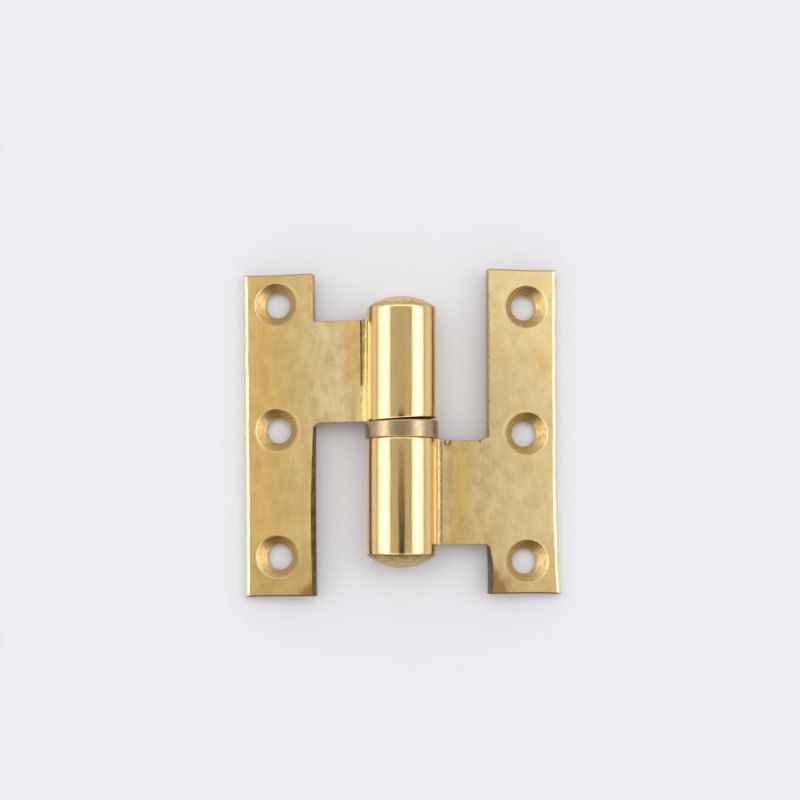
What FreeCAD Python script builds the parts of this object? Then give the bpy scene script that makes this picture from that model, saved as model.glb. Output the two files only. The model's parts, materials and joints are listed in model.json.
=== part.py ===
import FreeCAD, Part
import math
import os

from collections import namedtuple
from FreeCAD import Vector

# A solid brass lift-off door hinge, lying open on a table as a tent: the ring round the pin and the
# outer edge of each leaf touch the table. Millimetres. Z is up, Y runs along the pin towards the
# upper half, the upper half's leaf lies towards -X and the lower half's leaf towards +X.
# The pieces are drawn with the lower barrel's shoulder at Y = 0 and the pin axis on the Y axis,
# then each leaf is turned down to the table and the whole is raised to stand on Z = 0.
# The hinge is hand finished: what is out of square or off centre in it has named sizes of its own.

# Barrels: two turned rods with domed ends
barrel_diameter = 17.2
upper_barrel_length = 28.0
lower_barrel_length = 28.3
upper_dome_rise = 2.9
lower_dome_rise = 3.2
shoulder_break = 0.15

# Ring between the barrels, slightly thicker on one side, and the barrel end above it, out of square
ring_diameter = 18.1
ring_height = 4.15
ring_taper = 0.45
end_out_of_square = 1.15
ring_edge_break = 0.2
face_gap = 0.05

# Pin, fixed in the lower barrel and turning in the upper one
pin_diameter = 8.0
pin_depth = 20.0
pin_reach = 24.0
pin_tip_chamfer = 0.8
socket_clearance = 0.05
ring_bore_clearance = 0.08
socket_end_gap = 0.8

# Leaves: plate with a strip along the door and a tab to the barrel
plate_thickness = 3.0
upper_leaf_reach = 39.5
lower_leaf_reach = 39.15
upper_strip_width = 17.8
lower_strip_width = 17.55
upper_tab_height = 25.1
lower_tab_height = 25.55
slot_depth = 1.5
lower_leaf_height = 80.0
lower_leaf_top = 42.1
upper_leaf_height = 79.4
upper_leaf_top = 41.2
upper_tab_gap = 0.1
lower_tab_gap = 0.27
upper_leaf_skew = 0.68
lower_foot_flare = 0.75
lower_flare_height = 18.0

# Edges of the plate: rounded outside and at the ends, filed to a small flat on the strip's inner side
outer_edge_round = 1.0
end_edge_round = 0.5
inner_edge_flat = 0.2

# Notches where the strip meets the tab, as the saw left them
notch_corner_round = 0.4
upper_notch_chamfer_x = 1.6
upper_notch_chamfer_y = 0.85
lower_notch_chamfer_x = 2.0
lower_notch_chamfer_y = 1.0
saw_nick_depth = 0.6
saw_nick_width = 0.45

# Screw holes: three a leaf, countersunk for 5 mm screws
hole_diameter = 6.3
countersink_diameter = 10.7
countersink_angle = 90.0
upper_hole_edge = 8.45
lower_hole_edge = 8.0
upper_first_hole = 7.5
upper_last_hole = 9.7
lower_first_hole = 9.3
lower_last_hole = 8.0
lower_drill_wander = 0.25
holes_in_leaf = 3

# Brazed joint between tab and barrel: a groove along each face of the tab, with a fillet over the front
groove_width = 0.7
groove_depth = 0.8
braze_plate_leg = 2.0
braze_barrel_leg = 1.1
braze_hollow = 0.28
braze_bottom_runout = 0.9
braze_top_runout = 1.8
upper_front_braze_length = 10.2

# Overshoot of cutting tools, so that a cut runs clean through, and the slack in matching edges
spare = 1.0
hair = 0.001

barrel_radius = barrel_diameter / 2
ring_radius = ring_diameter / 2
pin_radius = pin_diameter / 2
half_plate = plate_thickness / 2
skew = math.radians(upper_leaf_skew)

# Heights along the pin, from the lower barrel's shoulder
ring_bottom = face_gap
ring_top = ring_bottom + ring_height
ring_top_slope = ring_taper / ring_diameter
barrel_end_slope = end_out_of_square / barrel_diameter
ring_top_at_low_side = ring_top - ring_top_slope * barrel_radius
barrel_end = ring_top_at_low_side + face_gap + barrel_end_slope * barrel_radius
upper_rim = ring_top_at_low_side + face_gap + upper_barrel_length
lower_rim = -lower_barrel_length
upper_tab_bottom = ring_top - ring_top_slope * ring_radius + upper_tab_gap + ring_radius * math.sin(skew)
lower_tab_top = -lower_tab_gap
tab_end = barrel_radius - slot_depth

# From one screw hole to the next
upper_hole_pitch = (upper_leaf_height - upper_first_hole - upper_last_hole) / (holes_in_leaf - 1)
lower_hole_pitch = (lower_leaf_height - lower_first_hole - lower_last_hole) / (holes_in_leaf - 1)

PIN_AXIS = Vector(0, 1, 0)
ORIGIN = Vector(0, 0, 0)

# One leaf: side is -1 towards -X and 1 towards +X, flare and flare_height say how its outer edge runs
# out at the foot, low and high are the notch corners below and above the tab, across and along
Leaf = namedtuple(
    "Leaf",
    "side reach flare flare_height strip_width top height tab_bottom tab_height low high "
    "hole_edge first_hole pitch wander",
)


def cylinder(radius, bottom, top):
    """A solid cylinder round the pin axis, from one height along it to another."""
    return Part.makeCylinder(radius, top - bottom, Vector(0, bottom, 0), PIN_AXIS)


def slanted_tool(height, slope, upwards):
    """The half space beyond a plane that crosses the axis at height and rises towards +X."""
    reach = barrel_diameter + ring_diameter
    rise = slope * reach
    far = height + (reach if upwards else -reach)
    corners = [
        Vector(-reach, height - rise, -reach),
        Vector(reach, height + rise, -reach),
        Vector(reach, far, -reach),
        Vector(-reach, far, -reach),
    ]
    face = Part.Face(Part.makePolygon(corners + corners[:1]))
    return face.extrude(Vector(0, 0, 2 * reach))


def turned(points, dome_from, dome_peak, dome_to):
    """A solid of revolution round the pin axis: straight runs through points, closed by a dome arc."""
    edges = []
    for start, end in zip(points, points[1:]):
        edges.append(Part.LineSegment(start, end).toShape())
    edges.append(Part.Arc(dome_from, dome_peak, dome_to).toShape())
    edges.append(Part.LineSegment(dome_to, points[0]).toShape())
    profile = Part.Face(Part.Wire(edges))
    return profile.revolve(ORIGIN, PIN_AXIS, 360)


def dome_arc(rim, rise):
    """Start, middle and end of the spherical cap's outline, from the rim to the axis."""
    cap_radius = (barrel_radius ** 2 + rise ** 2) / (2 * abs(rise))
    side = math.copysign(1, rise)
    centre = rim + rise - side * cap_radius
    half_angle = math.asin(barrel_radius / cap_radius) / 2
    middle = Vector(cap_radius * math.sin(half_angle), centre + side * cap_radius * math.cos(half_angle), 0)
    return Vector(barrel_radius, rim, 0), middle, Vector(0, rim + rise, 0)


def lower_barrel_blank():
    """The lower rod: square shoulder with a broken edge at Y = 0, dome at the foot, blind pin hole."""
    rim_point, middle, peak = dome_arc(lower_rim, -lower_dome_rise)
    points = [
        ORIGIN,
        Vector(barrel_radius - shoulder_break, 0, 0),
        Vector(barrel_radius, -shoulder_break, 0),
        rim_point,
    ]
    rod = turned(points, rim_point, middle, peak)
    return rod.cut(cylinder(pin_radius, -pin_depth, spare))


def upper_barrel_blank():
    """The upper rod: end cut out of square, dome on top, blind socket for the pin."""
    rim_point, middle, peak = dome_arc(upper_rim, upper_dome_rise)
    points = [ORIGIN, Vector(barrel_radius, 0, 0), rim_point]
    rod = turned(points, rim_point, middle, peak)
    rod = rod.cut(slanted_tool(barrel_end, barrel_end_slope, upwards=False))
    socket = cylinder(pin_radius + socket_clearance, -spare, pin_reach + socket_end_gap)
    return rod.cut(socket)


def bearing_ring():
    """The ring: square below, tapered above, with broken edges and a running bore."""
    blank = cylinder(ring_radius, ring_bottom, ring_top + ring_taper)
    blank = blank.cut(slanted_tool(ring_top, ring_top_slope, upwards=True))
    rims = []
    for edge in blank.Edges:
        if len(edge.Vertexes) == 1:
            rims.append(edge)
    blank = blank.makeChamfer(ring_edge_break, rims)
    bore = cylinder(pin_radius + ring_bore_clearance, ring_bottom - spare, ring_top + ring_taper + spare)
    return blank.cut(bore)


def hinge_pin():
    """The pin, from the bottom of its hole to a chamfered tip inside the upper barrel."""
    pin = cylinder(pin_radius, -pin_depth, pin_reach)
    tip = [edge for edge in pin.Edges if edge.BoundBox.YMin > pin_reach - spare and edge.Closed]
    return pin.makeChamfer(pin_tip_chamfer, tip)


def leaf_outline(leaf):
    """The plate's outline in the XY plane."""
    strip_inner = leaf.reach - leaf.strip_width
    leaf_bottom = leaf.top - leaf.height
    tab_top = leaf.tab_bottom + leaf.tab_height
    corners = [
        (leaf.reach + leaf.flare, leaf_bottom),
        (strip_inner, leaf_bottom),
        (strip_inner, leaf.tab_bottom - leaf.low[1]),
        (strip_inner - leaf.low[0], leaf.tab_bottom),
        (tab_end, leaf.tab_bottom),
        (tab_end, tab_top),
        (strip_inner - leaf.high[0], tab_top),
        (strip_inner, tab_top + leaf.high[1]),
        (strip_inner, leaf.top),
        (leaf.reach, leaf.top),
    ]
    if leaf.flare:
        corners.append((leaf.reach, leaf_bottom + leaf.flare_height))
    points = [Vector(leaf.side * x, y, -half_plate) for x, y in corners]
    return Part.makePolygon(points + points[:1])


def flat_edges(plate, wanted):
    """The plate's flat-lying edges that wanted picks by their box."""
    return [edge for edge in plate.Edges if edge.BoundBox.ZLength < hair and wanted(edge.BoundBox)]


def finished_plate(plate, leaf):
    """Rounds the outer long edges most and the strip's ends less, and files a flat on its inner edges."""
    leaf_bottom = leaf.top - leaf.height
    inner = leaf.side * (leaf.reach - leaf.strip_width)

    def on_outside(box):
        return box.YLength > spare and abs(box.Center.x) > leaf.reach - spare

    def on_inside(box):
        return box.XLength < hair and abs(box.XMin - inner) < hair

    def on_end(box):
        return box.YLength < hair and min(abs(box.YMin - leaf.top), abs(box.YMin - leaf_bottom)) < hair

    plate = plate.makeFillet(outer_edge_round, flat_edges(plate, on_outside))
    plate = plate.makeFillet(end_edge_round, flat_edges(plate, on_end))
    return plate.makeChamfer(inner_edge_flat, flat_edges(plate, on_inside))


def screw_hole(x, y, wander):
    """The drill and the countersink of one screw hole, as one cutting tool."""
    drill = Part.makeCylinder(
        hole_diameter / 2, plate_thickness + 2 * spare, Vector(x - wander, y, -half_plate - spare)
    )
    slope = math.tan(math.radians(countersink_angle / 2))
    depth = (countersink_diameter / 2) / slope
    cone = Part.makeCone(
        0, countersink_diameter / 2 + spare * slope, depth + spare, Vector(x, y, half_plate - depth)
    )
    return drill.fuse(cone)


def joint_groove(leaf, face):
    """The V left along the tab beside the barrel, on its front (face 1) or back (face -1)."""
    low = leaf.tab_bottom - spare
    length = leaf.tab_height + 2 * spare
    points = [
        Vector(leaf.side * tab_end, low, face * (half_plate - groove_depth)),
        Vector(leaf.side * barrel_radius, low, face * (half_plate - groove_depth)),
        Vector(leaf.side * (barrel_radius + groove_width), low, face * half_plate),
        Vector(leaf.side * (barrel_radius + groove_width), low, face * (half_plate + spare)),
        Vector(leaf.side * tab_end, low, face * (half_plate + spare)),
    ]
    wedge = Part.Face(Part.makePolygon(points + points[:1])).extrude(Vector(0, length, 0))
    return wedge.cut(cylinder(barrel_radius, low - spare, low + length + spare))


def leaf_plate(leaf):
    """A flat leaf: plate, rounded edges, countersunk holes and the grooves beside the barrel."""
    plate = Part.Face(leaf_outline(leaf)).extrude(Vector(0, 0, plate_thickness))
    plate = finished_plate(plate, leaf)
    hole_x = leaf.side * (leaf.reach - leaf.hole_edge)
    for row in range(holes_in_leaf):
        hole_y = leaf.top - leaf.first_hole - row * leaf.pitch
        plate = plate.cut(screw_hole(hole_x, hole_y, leaf.side * leaf.wander))
    for face in (1, -1):
        plate = plate.cut(joint_groove(leaf, face))
    return plate


def saw_nick():
    """A stray saw cut in the upper edge of the lower leaf's tab, beside the notch's corner."""
    x = lower_leaf_reach - lower_strip_width - lower_notch_chamfer_x - saw_nick_width
    corner = Vector(x, lower_tab_top - saw_nick_depth, -half_plate - spare)
    return Part.makeBox(saw_nick_width, saw_nick_depth + spare, plate_thickness + 2 * spare, corner)


def front_fillet(side, bottom, top):
    """The fillet of brazing metal over the groove on a tab's front, before it is trimmed."""
    foot_x = math.sqrt(barrel_radius ** 2 - half_plate ** 2) + braze_plate_leg
    head_z = half_plate + braze_barrel_leg
    head_x = math.sqrt(barrel_radius ** 2 - head_z ** 2)
    deep_z = half_plate - groove_depth - spare
    foot = Vector(side * foot_x, bottom, half_plate)
    belly_x = (foot_x + head_x) / 2 - braze_hollow
    belly = Vector(side * belly_x, bottom, (half_plate + head_z) / 2 - braze_hollow)
    head = Vector(side * head_x, bottom, head_z)
    back_high = Vector(side * tab_end, bottom, head_z)
    back_low = Vector(side * tab_end, bottom, deep_z)
    foot_low = Vector(side * foot_x, bottom, deep_z)
    edges = [Part.Arc(foot, belly, head).toShape()]
    for start, end in ((head, back_high), (back_high, back_low), (back_low, foot_low), (foot_low, foot)):
        edges.append(Part.LineSegment(start, end).toShape())
    bead = Part.Face(Part.Wire(edges)).extrude(Vector(0, top - bottom, 0))
    plan = [
        Vector(side * tab_end, bottom, -barrel_radius),
        Vector(side * foot_x, bottom + braze_bottom_runout, -barrel_radius),
        Vector(side * foot_x, top - braze_top_runout, -barrel_radius),
        Vector(side * tab_end, top, -barrel_radius),
    ]
    runout = Part.Face(Part.makePolygon(plan + plan[:1])).extrude(Vector(0, 0, barrel_diameter))
    return bead.common(runout)


def back_filling(leaf):
    """The brazing metal in the groove on a tab's back, ground flush so that the leaf beds flat."""
    width = barrel_radius + groove_width - tab_end
    low_x = tab_end if leaf.side > 0 else -tab_end - width
    return Part.makeBox(width, leaf.tab_height, groove_depth, Vector(low_x, leaf.tab_bottom, -half_plate))


def braze(leaf, front_length, neighbours):
    """The brazing metal of one tab, front and back, trimmed to the leaf and barrel it joins."""
    fillet = front_fillet(leaf.side, leaf.tab_bottom, leaf.tab_bottom + front_length)
    beads = []
    for bead in (fillet, back_filling(leaf)):
        for neighbour in neighbours:
            bead = bead.cut(neighbour)
        beads.append(max(bead.Solids, key=lambda piece: piece.Volume))
    return Part.makeCompound(beads)


def droop(reach):
    """The angle by which a leaf of this reach hangs below level, its rounded edge on the table."""
    arm = math.hypot(reach - outer_edge_round, half_plate - outer_edge_round)
    lean = math.atan2(half_plate - outer_edge_round, reach - outer_edge_round)
    return math.degrees(math.asin((ring_radius - outer_edge_round) / arm) - lean)


def lay_down(shape, side, angle, middle):
    """Turns a piece of one half down round the pin and stands it on the table at the row's origin."""
    shape = shape.copy()
    shape.rotate(ORIGIN, PIN_AXIS, side * angle)
    shape.translate(Vector(0, -middle, ring_radius))
    return shape


def build():
    """All the pieces in their places, by name."""
    sharp = (notch_corner_round, notch_corner_round)
    lower = Leaf(
        side=1, reach=lower_leaf_reach, flare=lower_foot_flare, flare_height=lower_flare_height,
        strip_width=lower_strip_width, top=lower_leaf_top, height=lower_leaf_height,
        tab_bottom=lower_tab_top - lower_tab_height, tab_height=lower_tab_height,
        low=sharp, high=(lower_notch_chamfer_x, lower_notch_chamfer_y), hole_edge=lower_hole_edge,
        first_hole=lower_first_hole, pitch=lower_hole_pitch, wander=lower_drill_wander,
    )
    upper = Leaf(
        side=-1, reach=upper_leaf_reach, flare=0, flare_height=0,
        strip_width=upper_strip_width, top=upper_leaf_top, height=upper_leaf_height,
        tab_bottom=upper_tab_bottom, tab_height=upper_tab_height,
        low=(upper_notch_chamfer_x, upper_notch_chamfer_y), high=sharp, hole_edge=upper_hole_edge,
        first_hole=upper_first_hole, pitch=upper_hole_pitch, wander=0,
    )
    lower_leaf = leaf_plate(lower).cut(saw_nick())
    upper_leaf = leaf_plate(upper)
    upper_leaf.rotate(ORIGIN, Vector(0, 0, 1), upper_leaf_skew)
    lower_barrel = lower_barrel_blank().cut(lower_leaf)
    upper_barrel = upper_barrel_blank().cut(upper_leaf)
    lower_braze = braze(lower, lower_tab_height, (lower_leaf, lower_barrel))
    upper_braze = braze(upper, upper_front_braze_length, (upper_leaf, upper_barrel))

    widest_upper = upper_leaf_reach * math.cos(skew) + upper_leaf_top * math.sin(skew)
    lowest_upper = (upper_leaf_top - upper_leaf_height) * math.cos(skew) - upper_leaf_reach * math.sin(skew)
    middle = (lower_leaf_top + lowest_upper) / 2
    upper_angle = droop(widest_upper)
    lower_angle = droop(lower_leaf_reach + lower_foot_flare)
    return {
        "lower_leaf": lay_down(lower_leaf, 1, lower_angle, middle),
        "lower_barrel": lay_down(lower_barrel, 1, lower_angle, middle),
        "lower_braze": lay_down(lower_braze, 1, lower_angle, middle),
        "hinge_pin": lay_down(hinge_pin(), 1, lower_angle, middle),
        "bearing_ring": lay_down(bearing_ring(), -1, upper_angle, middle),
        "upper_leaf": lay_down(upper_leaf, -1, upper_angle, middle),
        "upper_barrel": lay_down(upper_barrel, -1, upper_angle, middle),
        "upper_braze": lay_down(upper_braze, -1, upper_angle, middle),
    }


os.makedirs("parts", exist_ok=True)
for name, shape in build().items():
    shape.exportStep("parts/" + name + ".step")
    print(name, len(shape.Solids), round(shape.Volume, 2), shape.isValid())
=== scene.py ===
import json
import math
from collections import namedtuple
from functools import reduce

import bmesh
import bpy
from bpy.props import FloatProperty, FloatVectorProperty, PointerProperty
from bpy.types import Operator, Panel, PropertyGroup
from mathutils import Matrix, Vector, noise


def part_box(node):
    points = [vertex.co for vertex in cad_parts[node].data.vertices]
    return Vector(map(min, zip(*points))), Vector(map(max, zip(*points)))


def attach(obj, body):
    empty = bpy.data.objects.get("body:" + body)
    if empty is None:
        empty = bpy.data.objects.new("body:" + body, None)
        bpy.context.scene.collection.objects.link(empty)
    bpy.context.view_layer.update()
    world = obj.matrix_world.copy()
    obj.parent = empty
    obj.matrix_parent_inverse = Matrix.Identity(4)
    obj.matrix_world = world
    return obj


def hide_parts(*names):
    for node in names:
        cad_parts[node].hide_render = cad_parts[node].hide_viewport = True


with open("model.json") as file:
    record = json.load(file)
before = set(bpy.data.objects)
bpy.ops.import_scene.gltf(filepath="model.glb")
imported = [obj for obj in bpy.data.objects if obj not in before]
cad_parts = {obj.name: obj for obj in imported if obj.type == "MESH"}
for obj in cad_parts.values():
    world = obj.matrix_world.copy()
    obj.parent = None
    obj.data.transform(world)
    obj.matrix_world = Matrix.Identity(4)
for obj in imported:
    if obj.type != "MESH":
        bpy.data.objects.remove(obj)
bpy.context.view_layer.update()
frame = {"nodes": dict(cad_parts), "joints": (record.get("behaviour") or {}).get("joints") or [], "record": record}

# A solid brass lift-off door hinge lying open on a pale studio table. Metres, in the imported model's frame.
# Each half has a frame of its own, in which its leaf lies level: X across, Y along the pin from the
# lower barrel's shoulder, Z out of the leaf's front. The leaf frame is also square to the leaf's edges.

bl_info = {
    "name": "Paumelle Hinge",
    "version": (1, 0, 0),
    "blender": (4, 5, 0),
    "location": "3D View > Sidebar > Hinge",
    "description": "Dresses the packed model of a brass lift-off hinge and lays it on a studio table",
    "category": "Object",
}

MM = 0.001

JOINTS = {joint["name"]: joint for joint in frame["joints"]}
MOUNTS = {mount["name"]: mount for mount in frame["record"]["mounts"]}
PIN_CENTRE = Vector(JOINTS["swing"]["pos_m"])
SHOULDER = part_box("lower_barrel")[1].y
HOLE_ROWS = ("top", "middle", "bottom")
PLACE = "place"


def length(name, description, default):
    """A length in metres, shown in the scene's unit."""
    return FloatProperty(name=name, description=description, default=default, unit="LENGTH", precision=5)


def share(name, description, default):
    """A plain number from 0 to 1."""
    return FloatProperty(name=name, description=description, default=default, min=0, max=1)


def colour(name, description, default):
    """A linear colour."""
    return FloatVectorProperty(
        name=name, description=description, default=default, subtype="COLOR", size=3, min=0, max=1
    )


# Sizes and colours that a user may change

class LeafSizes(PropertyGroup):
    upper_strip: length("Upper strip width", "Width of the upper leaf's strip", 17.8 * MM)
    lower_strip: length("Lower strip width", "Width of the lower leaf's strip over its flare", 17.55 * MM)
    flare_height: length("Flare height", "How high the lower leaf's outer edge runs out at its foot", 18 * MM)
    outer_round: length("Outer edge round", "Radius along the outer long edge", 1.25 * MM)
    end_round: length("End round", "Radius along the strip's two ends", 0.35 * MM)
    inner_flat: length("Inner edge flat", "Width of the filed flat along the inner edges", 0.22 * MM)
    sawn_flat: length("Sawn edge flat", "Width of the broken corner along the sawn edges", 0.12 * MM)
    upper_filed: length("Upper filed flat", "Widest part of the flat filed on the upper leaf", 1.0 * MM)
    lower_filed: length("Lower filed flat", "Widest part of the flat filed on the lower leaf", 1.15 * MM)
    corner_round: length("Corner round", "Radius of the strip's corners in plan", 0.35 * MM)
    notch_round: length("Notch round", "Size of the nearly sharp corner in a notch", 0.4 * MM)
    upper_chamfer: FloatVectorProperty(
        name="Upper leaf notch", description="Across and along, of the chamfered corner under the tab",
        default=(1.6 * MM, 0.85 * MM), size=2, unit="LENGTH", precision=5,
    )
    lower_chamfer: FloatVectorProperty(
        name="Lower leaf notch", description="Across and along, of the chamfered corner over the tab",
        default=(2.0 * MM, 1.0 * MM), size=2, unit="LENGTH", precision=5,
    )
    nick_width: length("Saw nick width", "Width of the stray saw cut in the lower leaf's tab", 0.45 * MM)
    nick_depth: length("Saw nick depth", "Depth of the stray saw cut in the lower leaf's tab", 0.6 * MM)
    tab_gap: length("Tab to barrel", "From the barrel's side to where the tab starts to show", 1.1 * MM)
    hole_diameter: length("Hole diameter", "Diameter of the screw holes", 6.3 * MM)
    sink_diameter: length("Countersink diameter", "Diameter of the countersinks at the front", 10.7 * MM)
    lower_wander: length("Drill wander", "How far the lower leaf's drill ran inwards", 0.25 * MM)
    saw_roughness: length("Saw marks", "How far the saw wandered along the sawn edges", 0.07 * MM)
    outer_wander: length("Hand filing", "How far the file wandered along the outer edges and ends", 0.22 * MM)


class BarrelSizes(PropertyGroup):
    diameter: length("Barrel diameter", "Diameter of both barrels", 17.2 * MM)
    upper_rise: length("Upper dome", "Rise of the upper barrel's dome", 2.9 * MM)
    lower_rise: length("Lower dome", "Rise of the lower barrel's dome", 3.2 * MM)
    edge_break: length("Broken edge", "Size of the broken edge at a barrel's ends", 0.15 * MM)
    roll_depth: length("Rolled end", "How far polishing drew a barrel's ends in", 0.07 * MM)
    roll_length: length("Rolled length", "Length over which it did", 3.0 * MM)
    # A dome's brightness against the barrel is painted light; the lower dome's is lowered as painted shade
    upper_dome_painted_light: share("Upper dome painted light", "How bright the upper dome is against the barrel", 1.0)
    lower_dome_painted_light: share("Lower dome painted light", "How bright the lower dome is against the barrel", 0.66)
    upper_dome_browning_and_shade: share("Upper dome browning and shade", "How brown the upper dome's grain and its painted shade by the rim are", 0.4)
    lower_dome_browning_and_shade: share("Lower dome browning and shade", "How brown the lower dome's grain and its painted shade by the rim are", 0.85)
    out_of_square: length("Out of square", "Slant of the upper barrel's end across it", 1.15 * MM)
    pin_diameter: length("Pin diameter", "Diameter of the pin", 8.0 * MM)
    pin_chamfer: length("Pin chamfer", "Chamfer at the pin's tip", 0.8 * MM)
    socket_clearance: length("Socket clearance", "Clearance round the pin in the upper barrel", 0.05 * MM)
    socket_gap: length("Socket end gap", "Room over the pin's tip in the socket", 0.8 * MM)


class RingSizes(PropertyGroup):
    diameter: length("Ring diameter", "Outer diameter of the bearing ring", 18.1 * MM)
    height: length("Ring height", "Height of the bearing ring at the pin", 4.15 * MM)
    taper: length("Ring taper", "How much thicker the ring is on one side", 0.45 * MM)
    edge_break: length("Broken edge", "Size of the ring's broken edges", 0.26 * MM)
    bore_clearance: length("Bore clearance", "Clearance between the ring and the pin", 0.08 * MM)


class BrazeSizes(PropertyGroup):
    barrel_leg: length("Leg on the barrel", "How far the brazing metal climbs up the barrel", 0.5 * MM)
    lap: length("Lap on the tab", "How far the upper half's fillet laps over its tab", 1.7 * MM)
    upper_length: length("Upper fillet", "Length of the upper half's fillet", 9.6 * MM)
    upper_fade: length("Upper fade", "Length over which that fillet turns into the open groove", 2.2 * MM)
    groove_depth: length("Groove depth", "Depth of the open groove in the upper half", 0.48 * MM)
    groove_width: length("Groove width", "Width of the open groove at its upper end", 1.0 * MM)
    seam_depth: length("Seam depth", "Depth of the pitted seam in the lower half", 0.06 * MM)
    pitting: length("Pitting", "Depth of the sags in its face", 0.05 * MM)


class HingeFinish(PropertyGroup):
    upper_leaf: colour("Upper leaf brass", "Colour of the upper leaf", (0.655, 0.447, 0.167))
    lower_leaf: colour("Lower leaf brass", "Colour of the lower leaf", (0.616, 0.448, 0.191))
    upper_bloom: colour("Upper leaf bloom", "Colour of the upper leaf's paler zone", (0.775, 0.67, 0.39))
    # The lower leaf's paler zone is darker than the upper's: painted shade against the stronger light on its side
    lower_bloom_with_painted_shade: colour("Lower leaf bloom with painted shade", "Colour of the lower leaf's paler zone", (0.62, 0.507, 0.28))
    edge: colour("Rubbed edges", "Colour of the leaves' rounded edges", (0.90, 0.78, 0.53))
    heat: colour("Heat tint", "Colour of the brass where the torch warmed it", (0.765, 0.485, 0.155))
    stain: colour("Stain", "Colour of the brownish clouds in the brass", (0.62, 0.42, 0.16))
    tarnish: colour("Tarnish", "Colour of the dark, greenish tarnish", (0.078, 0.062, 0.031))
    dirt: colour("Dirt", "Colour of the dirt in seams and under the barrel's end", (0.11, 0.068, 0.03))
    copper: colour("Copper", "Colour of the coppery corners and stains", (0.66, 0.33, 0.12))
    barrel: colour("Barrel brass", "Colour of the polished barrels", (0.86, 0.62, 0.28))
    # A paler colour painted on a barrel's side by the tab and on the brazing beside it: painted sheen
    flank: colour("Painted flank sheen", "Colour of the painted sheen on a barrel's side by the tab", (0.92, 0.755, 0.41))
    sink: colour("Countersink brass", "Colour of the turned countersinks", (0.70, 0.505, 0.22))
    ring: colour("Ring bronze", "Colour of the bearing ring", (0.44, 0.324, 0.182))
    braze: colour("Brazing metal", "Colour of the brazing metal", (0.66, 0.49, 0.215))
    pin: colour("Pin steel", "Colour of the pin", (0.62, 0.61, 0.59))
    lacquer: share("Lacquer", "How much clear lacquer is left on the barrels and the ring", 0.5)
    leaf_roughness: share("Leaf roughness", "Roughness of the brushed leaves", 0.32)
    barrel_roughness: share("Barrel roughness", "Roughness of the polished barrels", 0.15)


class StageSizes(PropertyGroup):
    floor_radius: length("Table radius", "Where the table has faded into the background", 1.1)
    floor_fade: length("Table fade", "Where the table starts to fade into the background", 0.45)
    floor_colour: colour("Table colour", "Colour of the table", (0.716, 0.73, 0.79))
    horizon_colour: colour("Background", "Light of the room near the horizon", (0.84, 0.84, 0.88))
    ceiling_colour: colour("Ceiling", "Light of the room straight above", (0.58, 0.54, 0.485))
    window_light: FloatProperty(name="Windows", description="Brightness of the two high windows", default=1.9)
    lamp_lights: FloatVectorProperty(
        name="Lamps", description="Light of the lamps above, left and right on the table",
        default=(0.29, 0.1, 0.15), size=3,
    )
    softbox_light: FloatProperty(name="Softboxes", description="Brightness of the softboxes", default=2.95)
    softbox_length: length("Softbox length", "Length of the softboxes along the hinge", 0.34)
    softbox_distance: length("Softbox distance", "From the hinge to a softbox's lower edge", 0.45)
    camera_place: FloatVectorProperty(
        name="Camera", description="Where the camera stands", default=(-0.0004, -0.0283, 0.5512),
        size=3, unit="LENGTH", precision=5,
    )
    camera_pitch: FloatProperty(
        name="Camera pitch", description="How far the camera leans from straight down",
        default=math.radians(3.80), unit="ROTATION",
    )
    lens: FloatProperty(name="Lens", description="Focal length in millimetres", default=100)


# Node materials

def set_inputs(tree, node, inputs):
    """Links each input of a node to a socket or sets it to a value."""
    for key, value in inputs.items():
        if isinstance(value, bpy.types.NodeSocket):
            tree.links.new(value, node.inputs[key])
        else:
            node.inputs[key].default_value = value


def add_node(tree, kind, inputs, **settings):
    """Adds a node with these inputs and settings."""
    node = tree.nodes.new(kind)
    for name, value in settings.items():
        setattr(node, name, value)
    set_inputs(tree, node, inputs)
    return node


def start_material(name, metal=True):
    """A new material, its nodes, and the place in the piece's own frame that its patterns follow."""
    material = bpy.data.materials.new(name)
    material.use_nodes = True
    tree = material.node_tree
    if metal:
        tree.nodes["Principled BSDF"].inputs["Metallic"].default_value = 1.0
        attribute = add_node(tree, "ShaderNodeAttribute", {}, attribute_name=PLACE)
        return material, tree, attribute.outputs["Vector"]
    return material, tree, tree.nodes.new("ShaderNodeTexCoord").outputs["Object"]


def finish_material(material, inputs):
    """The material, with the inputs of its shader linked to sockets or set to values."""
    tree = material.node_tree
    set_inputs(tree, tree.nodes["Principled BSDF"], inputs)
    return material


def grain(tree, place, size, detail=2.0, seed=0.0):
    """Noise from 0 to 1 whose spots have this size in millimetres along X, Y and Z."""
    scale = [1 / (part * MM) for part in size]
    scaled = add_node(tree, "ShaderNodeVectorMath", {0: place, 1: scale}, operation="MULTIPLY")
    return add_node(
        tree, "ShaderNodeTexNoise", {"Vector": scaled.outputs[0], "W": seed, "Scale": 1.0, "Detail": detail},
        noise_dimensions="4D",
    ).outputs["Fac"]


def ramp(tree, value, low, high, start=0.0, end=1.0):
    """Start where value is at low, end where it is at high, with a soft change between."""
    return add_node(
        tree, "ShaderNodeMapRange",
        {"Value": value, "From Min": low, "From Max": high, "To Min": start, "To Max": end},
        interpolation_type="SMOOTHSTEP",
    ).outputs["Result"]


def arithmetic(tree, operation, first, second=0.0):
    """One sum, product or the like of two values, or a function of the first."""
    return add_node(tree, "ShaderNodeMath", {0: first, 1: second}, operation=operation).outputs[0]


def joined(tree, operation, values):
    """All the values taken together, one after another, by one operation."""
    return reduce(lambda first, second: arithmetic(tree, operation, first, second), values)


def product(tree, *values):
    """All the values multiplied."""
    return joined(tree, "MULTIPLY", values)


def total(tree, *values):
    """All the values added up."""
    return joined(tree, "ADD", values)


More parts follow.
